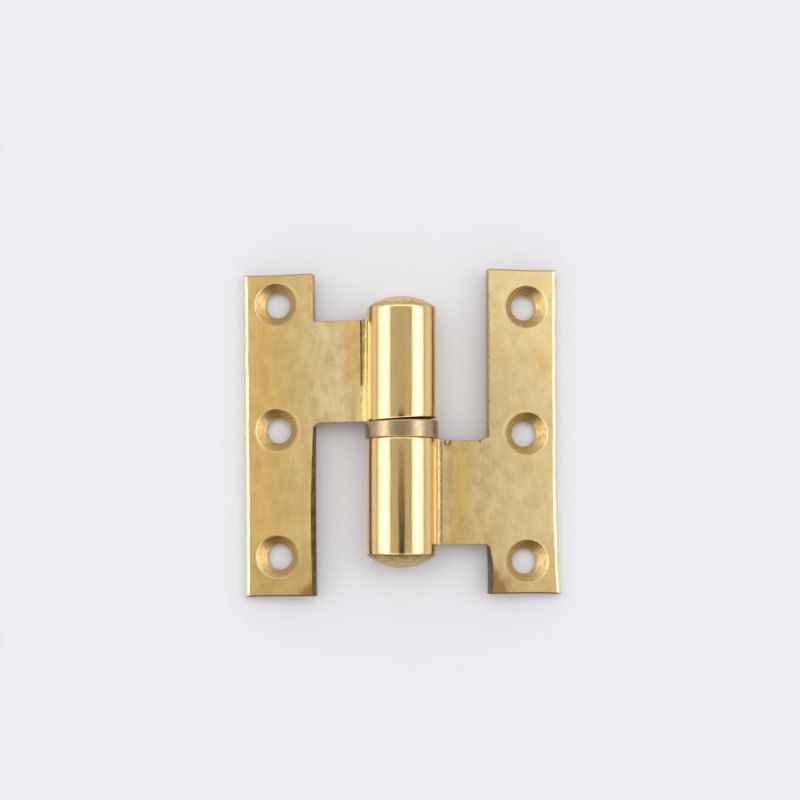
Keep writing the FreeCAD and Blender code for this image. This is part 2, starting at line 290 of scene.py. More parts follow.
def band(tree, value, base, limits):
    """1 in a band, 0 outside. limits, from base: where it sets in, is full, starts to fade and has ended."""
    start, full, fade, end = (base + limit for limit in limits)
    return product(tree, ramp(tree, value, end, fade), ramp(tree, value, start, full))


def toned(shade, factor):
    """The colour made darker or lighter by a factor."""
    return [part * factor for part in shade]


def blend_colours(tree, factor, first, second):
    """A colour between two, by factor."""
    def full(value):
        return value if isinstance(value, bpy.types.NodeSocket) else (*value, 1.0)

    inputs = {0: factor, 6: full(first), 7: full(second)}
    return add_node(tree, "ShaderNodeMix", inputs, data_type="RGBA").outputs[2]


def bump(tree, height, depth, before=None):
    """Surface relief of this depth in metres, on top of the relief before it."""
    inputs = {"Height": height, "Distance": depth, "Strength": 1.0}
    if before is not None:
        inputs["Normal"] = before
    return add_node(tree, "ShaderNodeBump", inputs).outputs["Normal"]


def axes(tree, place):
    """The X, Y and Z values of a place."""
    return add_node(tree, "ShaderNodeSeparateXYZ", {0: place}).outputs


def vector_length(tree, vector):
    """How long a vector is."""
    return add_node(tree, "ShaderNodeVectorMath", {0: vector}, operation="LENGTH").outputs["Value"]


def vector_of(tree, x=0.0, y=0.0, z=0.0):
    """A vector from three values."""
    return add_node(tree, "ShaderNodeCombineXYZ", {0: x, 1: y, 2: z}).outputs[0]


def distance_to_nearest(tree, place, centres):
    """The distance in the leaf's plane to the nearest of the centres."""
    flat = add_node(tree, "ShaderNodeVectorMath", {0: place, 1: (1, 1, 0)}, operation="MULTIPLY").outputs[0]
    distances = []
    for centre in centres:
        inputs = {0: flat, 1: (centre.x, centre.y, 0)}
        node = add_node(tree, "ShaderNodeVectorMath", inputs, operation="DISTANCE")
        distances.append(node.outputs["Value"])
    return joined(tree, "MINIMUM", distances)


def pits(tree, place, spacing, size):
    """Small pits scattered over a surface: 1 in the middle of a pit, 0 outside."""
    inputs = {0: place, 1: [1 / spacing] * 3}
    scaled = add_node(tree, "ShaderNodeVectorMath", inputs, operation="MULTIPLY").outputs[0]
    cell = add_node(tree, "ShaderNodeTexVoronoi", {"Vector": scaled, "Scale": 1.0})
    chosen = ramp(tree, axes(tree, cell.outputs["Color"])[0], 0.82, 0.84)
    return product(tree, chosen, ramp(tree, cell.outputs["Distance"], size, size / 3))


# Finishes

# How far out from the pin a leaf's paler zone starts, and where it is palest
BLOOM_SPANS = {"upper": (33 * MM, 15 * MM), "lower": (13 * MM, 25 * MM)}

# Along the pin: where the painted shade at the leaves' foot is darkest, where the paler zone and all the brass
# are clear of it, how much of its light the brass keeps in that painted shade, and the painted light up the lower
# leaf
FOOT_START = -38 * MM
BLOOM_CLEAR = -22 * MM
FOOT_CLEAR = -20 * MM
FOOT_PAINTED_SHADE = {"upper": 0.855, "lower": 0.9}
TOP_PAINTED_LIGHT = (8 * MM, 34 * MM, 1, 1.2)

# How far the heat tint reaches from the upper barrel over its tab, how softly it ends, its foot and its lean
TINT_WIDTH = 6.0 * MM
TINT_EDGE = 0.9 * MM
TINT_FOOT = 12.3 * MM
TINT_FOOT_EDGE = 2.4 * MM
TINT_LEAN = 0.02

# Outwards from the lower barrel: the brown band on its tab, and the pale zone beside the barrel
BROWN_BAND = (1.5 * MM, 4 * MM, 5.5 * MM, 9 * MM)
PALE_START = 4.5 * MM
PALE_FULL = 2 * MM

# Outwards from either barrel: where the tab starts to be filed more roughly, and where it is roughest
FILED_START = 6 * MM
FILED_FULL = 2 * MM

# Outwards from a countersink's rim: the dark ring round it
RING_MARK = (0.28 * MM, 0.4 * MM, 0.42 * MM, 0.55 * MM)

# How far the coppery stain at a leaf's inner foot corner reaches along the foot and up the edge
FOOT_STAIN = {"upper": (6 * MM, 5 * MM), "lower": (8 * MM, 11 * MM)}

# The U-shaped scar at the top of the lower leaf's tab: its middle, out from the barrel, half its width, its
# width against its height, where it is faint, below the tab's top, and how ragged its line is
SCAR_OUT = 2.45 * MM
SCAR_RADIUS = 0.7 * MM
SCAR_SQUASH = 0.4
SCAR_FADE = (-1.7 * MM, -0.8 * MM)
SCAR_RAGGED = 0.14 * MM

# From one ring that the countersinking tool turned to the next
TOOL_TURN = 0.62 * MM

# Along the pin: where the painted shade on the strips' ends changes from their dark foot to their brighter top
END_FOOT = -20 * MM
END_TOP = 20 * MM

# Where a painted sheen lies on a barrel's side beside the tab: its border, from the barrel's outermost line, and
# how softly it ends along the pin
FLANK_BORDER = (-2.1 * MM, -1.5 * MM)
FLANK_END = 0.6 * MM

# Beyond a dome's rim, where the painted shade by the rim sets in and is full. Over the ring, where the pin is
# clean and where it is dark with old grease
DOME_RIM_SHADE = (1.9 * MM, 0.1 * MM)
GREASE_FADE = (2.5 * MM, 1.3 * MM)

# The pitted seam and the painted sheen beside it, outwards from the tab's end, and how far under the leaf's
# face the dirt in the joint sets in and is full
SEAM_BAND = (-0.75 * MM, -0.3 * MM, 0.08 * MM, 0.25 * MM)
SEAM_SHEEN = (-0.7 * MM, -1.0 * MM)
JOINT_DIRT = (0.15 * MM, 0.35 * MM)


def barrel_tint(tree, half, out, y, barrel_radius):
    """How far the brass beside a barrel is discoloured: by heat on the upper tab, brown on the lower."""
    if half == "upper":
        edge = total(tree, out, product(tree, y, TINT_LEAN))
        rim = barrel_radius + TINT_WIDTH
        foot = ramp(tree, y, TINT_FOOT, TINT_FOOT + TINT_FOOT_EDGE)
        return product(tree, ramp(tree, edge, rim, rim - TINT_EDGE, 0, 0.8), foot)
    return product(tree, band(tree, out, barrel_radius, BROWN_BAND), 0.7)


def braze_scar(tree, place, out, y, barrel_radius, tab_top):
    """The U-shaped scar at the top of the lower leaf's tab: 1 in its ragged line, 0 outside."""
    across = arithmetic(tree, "SUBTRACT", out, barrel_radius + SCAR_OUT)
    down = product(tree, arithmetic(tree, "SUBTRACT", tab_top, y), SCAR_SQUASH)
    away = arithmetic(tree, "SUBTRACT", vector_length(tree, vector_of(tree, across, down)), SCAR_RADIUS)
    speckle = grain(tree, place, (0.7, 0.9, 0.7), 2.0, seed=26.0)
    away = total(tree, arithmetic(tree, "ABSOLUTE", away), ramp(tree, speckle, 0.35, 0.65, 0, SCAR_RAGGED))
    faint, clear = (tab_top + fade for fade in SCAR_FADE)
    return product(tree, ramp(tree, away, 0.48 * MM, 0.22 * MM), ramp(tree, y, faint, clear, 0.3, 1))


def brushed_leaf(half, side, centres, barrel_radius, tab_top, foot):
    """Satin brass brushed along the pin, with brown and pale clouds, heat tint by the barrel, ringed holes,
    painted shade at the foot and painted light up the lower leaf.

    foot is the strip's inner bottom corner, X counted outwards, where a coppery stain lies."""
    finish = bpy.context.scene.hinge_finish
    upper = half == "upper"
    material, tree, place = start_material(half + " leaf brass")
    x, y, z = axes(tree, place)
    out = product(tree, x, side)
    patches = grain(tree, place, (9, 11, 9), 3.0, seed=3.0 + side)
    haze = grain(tree, place, (2.4, 5, 3), 3.0, seed=7.0 + side)
    clouds = grain(tree, place, (2.2, 3.0, 2.2), 2.0, seed=28.0 + side)
    brushing = grain(tree, place, (0.22, 7, 1), 3.0, seed=1.0)

    # The paler zone fades out at the foot, under the painted shade there
    pale = product(
        tree, ramp(tree, out, *BLOOM_SPANS[half], 0, 0.9), ramp(tree, haze, 0.25, 0.7, 0.6, 1),
        ramp(tree, y, FOOT_START, BLOOM_CLEAR, 0.3, 1),
    )
    if not upper:
        beside = ramp(tree, out, barrel_radius + PALE_START, barrel_radius + PALE_FULL, 0, 0.9)
        pale = arithmetic(tree, "MAXIMUM", pale, beside)
    brass = finish.upper_leaf if upper else finish.lower_leaf
    # The lower leaf's bloom colour holds painted shade
    shade = blend_colours(tree, pale, brass, finish.upper_bloom if upper else finish.lower_bloom_with_painted_shade)
    brown = total(tree, patches, product(tree, clouds, 0.35))
    shade = blend_colours(tree, ramp(tree, brown, 0.66, 0.95, 0, 0.85), shade, finish.stain)
    tint = product(tree, barrel_tint(tree, half, out, y, barrel_radius), ramp(tree, haze, 0.3, 0.6, 0.5, 1))
    shade = blend_colours(tree, tint, shade, finish.heat if upper else finish.stain)
    along, up = FOOT_STAIN[half]
    spread = total(
        tree, ramp(tree, out, foot.x, foot.x + along), ramp(tree, y, foot.y, foot.y + up),
        ramp(tree, clouds, 0.3, 0.7, -0.15, 0.15),
    )
    shade = blend_colours(tree, ramp(tree, spread, 1.05, 0.25, 0, 0.85), shade, toned(finish.copper, 0.5))

    away = distance_to_nearest(tree, place, centres)
    rim = bpy.context.scene.hinge_leaves.sink_diameter / 2
    ring_mark = product(
        tree, band(tree, away, rim, RING_MARK), ramp(tree, patches, 0.42, 0.56), ramp(tree, z, 0, 1 * MM)
    )
    holes = pits(tree, place, 5 * MM, 0.03)
    if not upper:
        holes = arithmetic(tree, "MAXIMUM", holes, braze_scar(tree, place, out, y, barrel_radius, tab_top))
    marks = arithmetic(tree, "MAXIMUM", holes, product(tree, ring_mark, 0.25))
    shade = blend_colours(tree, product(tree, marks, 0.8), shade, finish.dirt)

    filed = ramp(tree, out, barrel_radius + FILED_START, barrel_radius + FILED_FULL, 1, 3)
    streaks = product(tree, arithmetic(tree, "SUBTRACT", brushing, 0.5), filed)
    # Brushed streaks and clouds, times painted shade towards the foot
    light = product(
        tree, ramp(tree, streaks, -0.5, 0.5, 0.93, 1.07), ramp(tree, clouds, 0.3, 0.7, 0.94, 1.06),
        ramp(tree, y, FOOT_START, FOOT_CLEAR, FOOT_PAINTED_SHADE[half], 1),
    )
    # Painted light, brighter towards the lower leaf's top
    if not upper:
        light = product(tree, light, ramp(tree, y, *TOP_PAINTED_LIGHT))
    shade = add_node(tree, "ShaderNodeVectorMath", {0: shade, "Scale": light}, operation="SCALE").outputs[0]

    rough = ramp(tree, haze, 0.3, 0.7, finish.leaf_roughness - 0.01, finish.leaf_roughness + 0.03)
    relief = bump(tree, brushing, 2e-6)
    relief = bump(tree, grain(tree, place, (5, 14, 5), 1.0, seed=11.0), 22e-6, relief)
    relief = bump(tree, product(tree, total(tree, holes, ring_mark), -1.0), 20e-6, relief)
    return finish_material(material, {"Base Color": shade, "Roughness": rough, "Normal": relief})


def polished_edge(name):
    """The rounded edges, rubbed brighter than the faces, with a few small nicks."""
    brass = bpy.context.scene.hinge_finish.edge
    material, tree, place = start_material(name)
    wear = grain(tree, place, (1.2, 2.5, 1.2), 3.0, seed=2.0)
    shade = blend_colours(tree, ramp(tree, wear, 0.4, 0.7), brass, toned(brass, 0.84))
    rough = ramp(tree, wear, 0.3, 0.7, 0.4, 0.5)
    relief = bump(tree, grain(tree, place, (0.5, 1.4, 0.5), 2.0, seed=4.0), 10e-6)
    relief = bump(tree, product(tree, pits(tree, place, 2.2 * MM, 0.12), -1.0), 60e-6, relief)
    return finish_material(material, {"Base Color": shade, "Roughness": rough, "Normal": relief})


def sawn_edge(name, brass):
    """Sawn and roughly filed edges: fine ridges across the plate's edge, darker in the hollows."""
    finish = bpy.context.scene.hinge_finish
    material, tree, place = start_material(name)
    ridges = grain(tree, place, (0.16, 0.16, 2), 3.0, seed=6.0)
    dirt = ramp(tree, grain(tree, place, (0.7, 0.9, 0.7), 3.0, seed=8.0), 0.45, 0.7, 0, 0.7)
    shade = blend_colours(tree, dirt, toned(brass, 0.85), toned(finish.dirt, 1.6))
    rough = ramp(tree, ridges, 0.3, 0.7, 0.32, 0.5)
    relief = bump(tree, ridges, 40e-6)
    return finish_material(material, {"Base Color": shade, "Roughness": rough, "Normal": relief})


def dark_filed_edge(name, brass):
    """The flat filed along a strip's inner edge, coloured dark and greenish."""
    finish = bpy.context.scene.hinge_finish
    material, tree, place = start_material(name)
    mottle = grain(tree, place, (0.8, 2.5, 0.8), 3.0, seed=9.0)
    shade = blend_colours(tree, ramp(tree, mottle, 0.45, 0.8, 0, 0.25), finish.tarnish, brass)
    rough = ramp(tree, mottle, 0.3, 0.7, 0.3, 0.45)
    relief = bump(tree, grain(tree, place, (0.2, 2, 0.2)), 12e-6)
    return finish_material(material, {"Base Color": shade, "Roughness": rough, "Normal": relief})


def browned_end(name, brass):
    """The ends of the strips, filed across, brown and coppery in spots, and darker at the foot than at the top
    with painted shade.
    """
    finish = bpy.context.scene.hinge_finish
    material, tree, place = start_material(name)
    mottle = grain(tree, place, (1.6, 1.6, 1.6), 3.0, seed=29.0)
    dull = blend_colours(tree, ramp(tree, mottle, 0.45, 0.7, 0, 0.6), toned(brass, 0.7), finish.copper)
    # Painted shade: the ends are darker and browner at the foot than at the top
    brown = ramp(tree, axes(tree, place)[1], END_FOOT, END_TOP, 0.85, 0.3)
    shade = blend_colours(tree, brown, dull, finish.dirt)
    rough = ramp(tree, mottle, 0.3, 0.7, 0.35, 0.5)
    relief = bump(tree, grain(tree, place, (0.2, 0.2, 2)), 12e-6)
    return finish_material(material, {"Base Color": shade, "Roughness": rough, "Normal": relief})


def turned_countersink(name, centres):
    """Countersinks with the uneven rings of the tool, dull patches, painted shade on the upper side and a painted
    highlight round the rim.
    """
    finish = bpy.context.scene.hinge_finish
    rim = bpy.context.scene.hinge_leaves.sink_diameter / 2
    material, tree, place = start_material(name)
    away = distance_to_nearest(tree, place, centres)
    drift = grain(tree, place, (2.5, 2.5, 2.5), 2.0, seed=12.0)
    turns = total(tree, arithmetic(tree, "DIVIDE", away, TOOL_TURN), product(tree, drift, 2))
    wave = arithmetic(tree, "SINE", product(tree, turns, 2 * math.pi))
    dull = grain(tree, place, (1.1, 1.1, 1.1), 3.0, seed=13.0)
    tone = total(
        tree, product(tree, ramp(tree, wave, 0.2, 1, 0, 0.5), ramp(tree, dull, 0.4, 0.6)),
        ramp(tree, dull, 0.45, 0.75, 0, 0.3),
    )
    shade = blend_colours(tree, tone, finish.sink, toned(finish.stain, 0.6))
    y = axes(tree, place)[1]
    # Painted shade on each countersink's upper side, in a dark stain colour
    upper_sides = []
    for centre in centres:
        above = ramp(tree, y, centre.y + 0.3 * rim, centre.y + 0.9 * rim)
        below = ramp(tree, y, centre.y + 2 * rim, centre.y + 1.5 * rim)
        upper_sides.append(product(tree, above, below))
    shaded = product(tree, joined(tree, "MAXIMUM", upper_sides), ramp(tree, wave, -0.6, 0.6, 0.5, 0.9))
    shade = blend_colours(tree, shaded, shade, toned(finish.stain, 0.4))
    # Painted highlight: a thin bright ring at the rim, in the rubbed edges' colour
    shade = blend_colours(tree, ramp(tree, away, rim - 0.2 * MM, rim - 0.1 * MM), shade, finish.edge)
    rough = ramp(tree, dull, 0.3, 0.7, 0.36, 0.5)
    relief = bump(tree, dull, 12e-6, bump(tree, wave, 5e-6))
    return finish_material(material, {"Base Color": shade, "Roughness": rough, "Normal": relief})


def polished_barrel(name, side, tab):
    """Polished brass with slightly wavy rubbing along the barrel, fine streaks, a few specks and a painted sheen
    by the tab.

    tab is the lowest and highest Y of the tab, beside which a painted sheen lies on the barrel's side."""
    finish = bpy.context.scene.hinge_finish
    radius = bpy.context.scene.hinge_barrels.diameter / 2
    material, tree, place = start_material(name)
    x, y, _ = axes(tree, place)
    inner, outer = (radius + border for border in FLANK_BORDER)
    flank = product(
        tree, ramp(tree, product(tree, x, side), inner, outer),
        ramp(tree, y, tab[0], tab[0] + FLANK_END), ramp(tree, y, tab[1], tab[1] - FLANK_END),
    )
    waves = grain(tree, place, (1.6, 16, 1.6), 2.0, seed=14.0)
    streaks = grain(tree, place, (0.3, 9, 0.3), 3.0, seed=15.0)
    haze = grain(tree, place, (3, 7, 3), 3.0, seed=16.0)
    specks = pits(tree, place, 1.9 * MM, 0.08)
    shade = blend_colours(tree, ramp(tree, haze, 0.5, 0.8, 0, 0.45), finish.barrel, finish.heat)
    # Painted sheen on the barrel's side beside the tab
    shade = blend_colours(tree, flank, shade, finish.flank)
    shade = blend_colours(tree, product(tree, specks, 0.7), shade, finish.tarnish)
    rough = ramp(tree, streaks, 0.3, 0.75, finish.barrel_roughness - 0.03, finish.barrel_roughness + 0.07)
    relief = bump(tree, streaks, 1.6e-6, bump(tree, waves, 26e-6))
    relief = bump(tree, grain(tree, place, (0.5, 0.7, 0.5), 2.0, seed=27.0), 2.5e-6, relief)
    return finish_material(material, {
        "Base Color": shade, "Roughness": rough, "Normal": relief,
        "Coat Weight": finish.lacquer, "Coat Roughness": finish.barrel_roughness,
    })


def greased_end_and_joint_shade(name):
    """The faces that turn on each other and the broken edges where parts meet: dark and dull with old grease,
    rubbed lighter in rings; on the outer broken edges the darkness is also painted shade along the joints.
    """
    finish = bpy.context.scene.hinge_finish
    material, tree, place = start_material(name)
    x, _, z = axes(tree, place)
    away = vector_length(tree, vector_of(tree, x=x, z=z))
    rings = grain(tree, vector_of(tree, away), (0.25, 1000, 1000), 3.0, seed=25.0)
    # Dark grease colour, which on the outer broken edges also stands in as painted shade along the joints
    shade = blend_colours(tree, ramp(tree, rings, 0.3, 0.7, 0.2, 0.8), finish.dirt, finish.stain)
    return finish_material(material, {
        "Base Color": shade, "Roughness": ramp(tree, rings, 0.3, 0.7, 0.65, 0.8),
        "Normal": bump(tree, rings, 6e-6), "Metallic": 0.0, "Specular IOR Level": 0.0,
    })


def grainy_dome(name, rim, way, brightness, browning):
    """The domes: cast-like satin, sandy, with brown clouds and painted shade that is densest by the rim."""
    finish = bpy.context.scene.hinge_finish
    material, tree, place = start_material(name)
    fine = grain(tree, place, (0.3, 0.3, 0.3), 2.0, seed=17.0)
    coarse = grain(tree, place, (1.6, 1.6, 1.6), 2.0, seed=18.0)
    # brightness scales the whole dome's colour: painted shade where it is below 1
    brass = toned(finish.barrel, brightness)
    shade = blend_colours(tree, ramp(tree, fine, 0.4, 0.6), toned(brass, 1.1), toned(brass, 0.7))
    # Brown clouds in the grain, and painted shade that is densest by the rim
    from_rim = product(tree, arithmetic(tree, "SUBTRACT", axes(tree, place)[1], rim), way)
    brown = total(
        tree, ramp(tree, from_rim, *DOME_RIM_SHADE, 0, 0.8), ramp(tree, coarse, 0.4, 0.8),
        ramp(tree, fine, 0.35, 0.65, -0.35, 0.35),
    )
    brown = ramp(tree, brown, 0.15, 1.1, 0, browning)
    shade = blend_colours(tree, brown, shade, toned(finish.stain, 0.45))
    rough = ramp(tree, coarse, 0.3, 0.7, 0.34, 0.46)
    relief = bump(tree, coarse, 60e-6, bump(tree, fine, 26e-6))
    return finish_material(material, {"Base Color": shade, "Roughness": rough, "Normal": relief})


def turned_ring(name):
    """Dull bronze with fine turning lines round it, a mottled skin and some lacquer."""
    finish = bpy.context.scene.hinge_finish
    material, tree, place = start_material(name)
    lines = grain(tree, place, (9, 0.14, 9), 2.0, seed=19.0)
    mottle = grain(tree, place, (0.9, 0.9, 0.9), 3.0, seed=20.0)
    shade = blend_colours(
        tree, ramp(tree, mottle, 0.35, 0.75, 0, 0.5), finish.ring, toned(finish.ring, 0.72)
    )
    return finish_material(material, {
        "Base Color": shade, "Roughness": ramp(tree, mottle, 0.3, 0.7, 0.26, 0.38),
        "Normal": bump(tree, mottle, 14e-6, bump(tree, lines, 4e-6)),
        "Coat Weight": finish.lacquer, "Coat Roughness": finish.leaf_roughness,
    })


def turned_steel(name):
    """Bright turned steel with fine lines round it, dark with old grease where it leaves the ring."""
    finish = bpy.context.scene.hinge_finish
    ring_height = bpy.context.scene.hinge_ring.height
    material, tree, place = start_material(name)
    lines = grain(tree, place, (9, 0.18, 9), 3.0, seed=21.0)
    grease = grain(tree, place, (2, 4, 2), 3.0, seed=22.0)
    shade = blend_colours(tree, ramp(tree, grease, 0.45, 0.8, 0, 0.5), finish.pin, toned(finish.pin, 0.6))
    height = axes(tree, place)[1]
    clean, greasy = (ring_height + fade for fade in GREASE_FADE)
    old_grease = ramp(tree, height, clean, greasy)
    shade = blend_colours(tree, old_grease, shade, toned(finish.dirt, 0.5))
    rough = total(tree, ramp(tree, grease, 0.3, 0.7, 0.2, 0.34), product(tree, old_grease, 0.4))
    relief = bump(tree, lines, 4e-6)
    return finish_material(material, {"Base Color": shade, "Roughness": rough, "Normal": relief})


def pitted_braze(name, seam_x, half_plate, seam_strength):
    """Filed brazing metal: satin like the leaf, with a dark pitted seam, sandy, coppery marks and a painted sheen
    towards the barrel.
    """
    finish = bpy.context.scene.hinge_finish
    material, tree, place = start_material(name)
    x, _, z = axes(tree, place)
    lumps = grain(tree, place, (0.5, 1.1, 0.5), 3.0, seed=23.0)
    stain = grain(tree, place, (0.7, 3.2, 0.7), 3.0, seed=24.0)
    dots = grain(tree, place, (0.28, 0.4, 0.28), 2.0, seed=30.0)
    out = arithmetic(tree, "ABSOLUTE", x)
    dotted = ramp(tree, dots, 0.42, 0.56, 0.2 * seam_strength, seam_strength)
    seam = product(tree, band(tree, out, seam_x, SEAM_BAND), dotted)
    clean, dirty = (half_plate - depth for depth in JOINT_DIRT)
    deep = product(
        tree, ramp(tree, z, clean, dirty), ramp(tree, z, 0, 0.2 * MM), ramp(tree, lumps, 0.35, 0.6, 0.15, 0.5)
    )
    # Painted sheen: the fillet is paler towards the barrel, in the flank's colour
    start, full = (seam_x + border for border in SEAM_SHEEN)
    rubbed = ramp(tree, out, start, full, 0, 0.3)
    shade = blend_colours(tree, ramp(tree, stain, 0.5, 0.7, 0, 0.5), finish.braze, finish.copper)
    shade = blend_colours(tree, rubbed, shade, finish.flank)
    shade = blend_colours(tree, deep, shade, finish.dirt)
    shade = blend_colours(tree, seam, shade, toned(finish.dirt, 2))
    rough = ramp(tree, lumps, 0.3, 0.7, 0.5, 0.36)
    relief = bump(tree, lumps, 25e-6)
    relief = bump(tree, product(tree, pits(tree, place, 0.8 * MM, 0.3), -1.0), 40e-6, relief)
    return finish_material(material, {"Base Color": shade, "Roughness": rough, "Normal": relief})


# Places of the two halves and their leaves

def half_matrix(half):
    """From a half's own frame, its leaf level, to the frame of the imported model."""
    axis = MOUNTS[half + "_leaf_screw_top"]["axis"]
    lean = math.atan2(axis[0], axis[2])
    return Matrix.Translation((PIN_CENTRE.x, SHOULDER, PIN_CENTRE.z)) @ Matrix.Rotation(lean, 4, "Y")


def leaf_matrix(half):
    """From a leaf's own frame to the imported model's. The leaf may sit a little askew on its barrel."""
    matrix = half_matrix(half)
    inverse = matrix.inverted()
    top = inverse @ Vector(MOUNTS[half + "_leaf_screw_top"]["pos_m"])
    bottom = inverse @ Vector(MOUNTS[half + "_leaf_screw_bottom"]["pos_m"])
    skew = math.atan2(bottom.x - top.x, top.y - bottom.y)
    return matrix @ Matrix.Rotation(skew, 4, "Z")


def node_points(node, matrix):
    """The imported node's points in the frame that matrix stands for."""
    inverse = matrix.inverted()
    return [inverse @ vertex.co for vertex in frame["nodes"][node].data.vertices]


# Angles from which the edges of each kind of piece stay sharp
LEAF_SHARP = math.radians(32)
TURNED_SHARP = math.radians(25)
BRAZE_SHARP = math.radians(50)


def finish_piece(name, bm, matrix, body, node, materials, sharp_angle):
    """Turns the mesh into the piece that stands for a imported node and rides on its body."""
    bmesh.ops.recalc_face_normals(bm, faces=bm.faces)
    mesh = bpy.data.meshes.new(name)
    bm.to_mesh(mesh)
    bm.free()
    for material in materials:
        mesh.materials.append(material)
    places = mesh.attributes.new(PLACE, "FLOAT_VECTOR", "POINT")
    for vertex in mesh.vertices:
        places.data[vertex.index].vector = vertex.co
    mesh.transform(matrix)
    mesh.shade_smooth()
    mesh.set_sharp_from_angle(angle=sharp_angle)
    piece = bpy.data.objects.new(name, mesh)
    bpy.context.scene.collection.objects.link(piece)
    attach(piece, body)
    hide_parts(node)


def join_loops(bm, first, second, material):
    """Quads between two closed loops of as many points, with one material or a list of one for each."""
    for index in range(len(first)):
        after = (index + 1) % len(first)
        face = bm.faces.new((first[index], first[after], second[after], second[index]))
        face.material_index = material[index] if isinstance(material, list) else material


# Leaves

# One straight run of a leaf's outline, from its start corner to the next run's: how round that corner is,
# how wide its edge is broken at the start and end, how much wider in between, how deep for that width,
# whether the break is flat, how far the saw wandered, and which of the leaf's materials it has
Run = namedtuple("Run", "x y corner start end belly depth flat wander material")

FACE, EDGE, SAWN, SINK, DARK_FILED, END_FACE = range(6)
# Points round a corner, the step along an edge, the steps over a rounded edge and the margin beside each edge
ARC_POINTS = 5
RUN_STEP = 0.4 * MM
ROUND_STEPS = 6
GUARD = 0.12 * MM
# Points round a screw hole, and how far down the countersink each row lies. None is the flat margin round it.
HOLE_SEGMENTS = 96
SINK_ROWS = (None, 0.0, 0.33, 0.66, 1.0)
# The bend where the lower leaf's outer edge starts to run out, and the waves of the saw and the file
FLARE_BEND = 100 * MM
SAW_WAVE = 0.45 * MM
FILE_WAVE = 7 * MM


def broken(run, width, step):
    """How far in and how far down the run's edge is at this share of its break."""
    if run.flat:
        return width * step, width * run.depth * (1 - step)
    turn = step * math.pi / 2
    return width * (1 - math.cos(turn)), width * run.depth * (1 - math.sin(turn))


def leaf_loop(runs, step, guard):
    """One loop round the leaf: x, y, how deep below the face, and the material of the run it is on."""
    count = len(runs)
    starts = [Vector((run.x, run.y)) for run in runs]
    ways = [(starts[(index + 1) % count] - starts[index]).normalized() for index in range(count)]
    inwards = [Vector((way.y, -way.x)) for way in ways]
    corners = []
    for index, run in enumerate(runs):
        before = runs[index - 1]
        first = broken(before, before.end, step)[0] + guard
        second = broken(run, run.start, step)[0] + guard
        turning = inwards[index - 1].cross(inwards[index])
        shift = Vector((
            (first * inwards[index].y - second * inwards[index - 1].y) / turning,
            (second * inwards[index - 1].x - first * inwards[index].x) / turning,
        ))
        convex = ways[index - 1].cross(ways[index]) < 0
        inset = (first + second) / 2
        radius = max(run.corner - inset, GUARD / 8) if convex else run.corner + inset
        corners.append((starts[index] + shift, radius))

    loop = []
    for index, run in enumerate(runs):
        before = runs[index - 1]
        corner, radius = corners[index]
        angle = ways[index - 1].angle(ways[index])
        tangent = radius * math.tan(angle / 2)
        arc_start = corner - ways[index - 1] * tangent
        arc_end = corner + ways[index] * tangent
        for point in range(ARC_POINTS):
            part = point / (ARC_POINTS - 1)
            near = arc_start.lerp(corner, part)
            far = corner.lerp(arc_end, part)
            low = broken(before, before.end, step)[1] * (1 - part) + broken(run, run.start, step)[1] * part
            place = near.lerp(far, part)
            loop.append((place.x, place.y, low, run.material if part > 0 else before.material))
        following, next_radius = corners[(index + 1) % count]
        next_angle = ways[index].angle(ways[(index + 1) % count])
        run_end = following - ways[index] * next_radius * math.tan(next_angle / 2)
        base_length = (starts[(index + 1) % count] - starts[index]).length
        pieces = max(1, round(base_length / RUN_STEP))
        for piece in range(1, pieces):
            part = piece / pieces
            place = arc_end.lerp(run_end, part)
            even = run.start + (run.end - run.start) * part
            width = even + run.belly * math.sin(math.pi * part)
            inset, low = broken(run, width, step)
            inset -= broken(run, even, step)[0]
            wavelength = FILE_WAVE if run.material in (EDGE, END_FACE) else SAW_WAVE
            along = part * base_length / wavelength
            fade = min(1, along, (1 - part) * base_length / wavelength)
            ripple = 0.5 + 0.5 * noise.noise(Vector((along, run.y / wavelength, run.x / wavelength)))
            place = place + inwards[index] * (inset + run.wander * ripple * fade)
            loop.append((place.x, place.y, low, run.material))
    return loop


def hole_rows(centre, drill_x, sizes, half_plate):
    """Rows of points down a screw hole: a flat margin, the rim, the countersink, the drill and the back."""
    sink = sizes.sink_diameter / 2
    drill = sizes.hole_diameter / 2
    offset = drill_x - centre.x
    rows = []
    for share_down in SINK_ROWS:
        row = []
        for index in range(HOLE_SEGMENTS):
            turn = 2 * math.pi * index / HOLE_SEGMENTS
            ray = Vector((math.cos(turn), math.sin(turn)))
            edge = offset * ray.x + math.sqrt(drill ** 2 - (offset * ray.y) ** 2)
            reach = sink + 2 * GUARD if share_down is None else sink + (edge - sink) * share_down
            z = half_plate - (0 if share_down is None else (sink - reach))
            row.append((centre.x + ray.x * reach, centre.y + ray.y * reach, z))
        rows.append(row)
    back = -half_plate
    for radius, z in ((drill, back + GUARD), (drill + GUARD, back), (drill + 3 * GUARD, back)):
        row = []
        for index in range(HOLE_SEGMENTS):
            turn = 2 * math.pi * index / HOLE_SEGMENTS
            row.append((drill_x + math.cos(turn) * radius, centre.y + math.sin(turn) * radius, z))
        rows.append(row)
    return rows


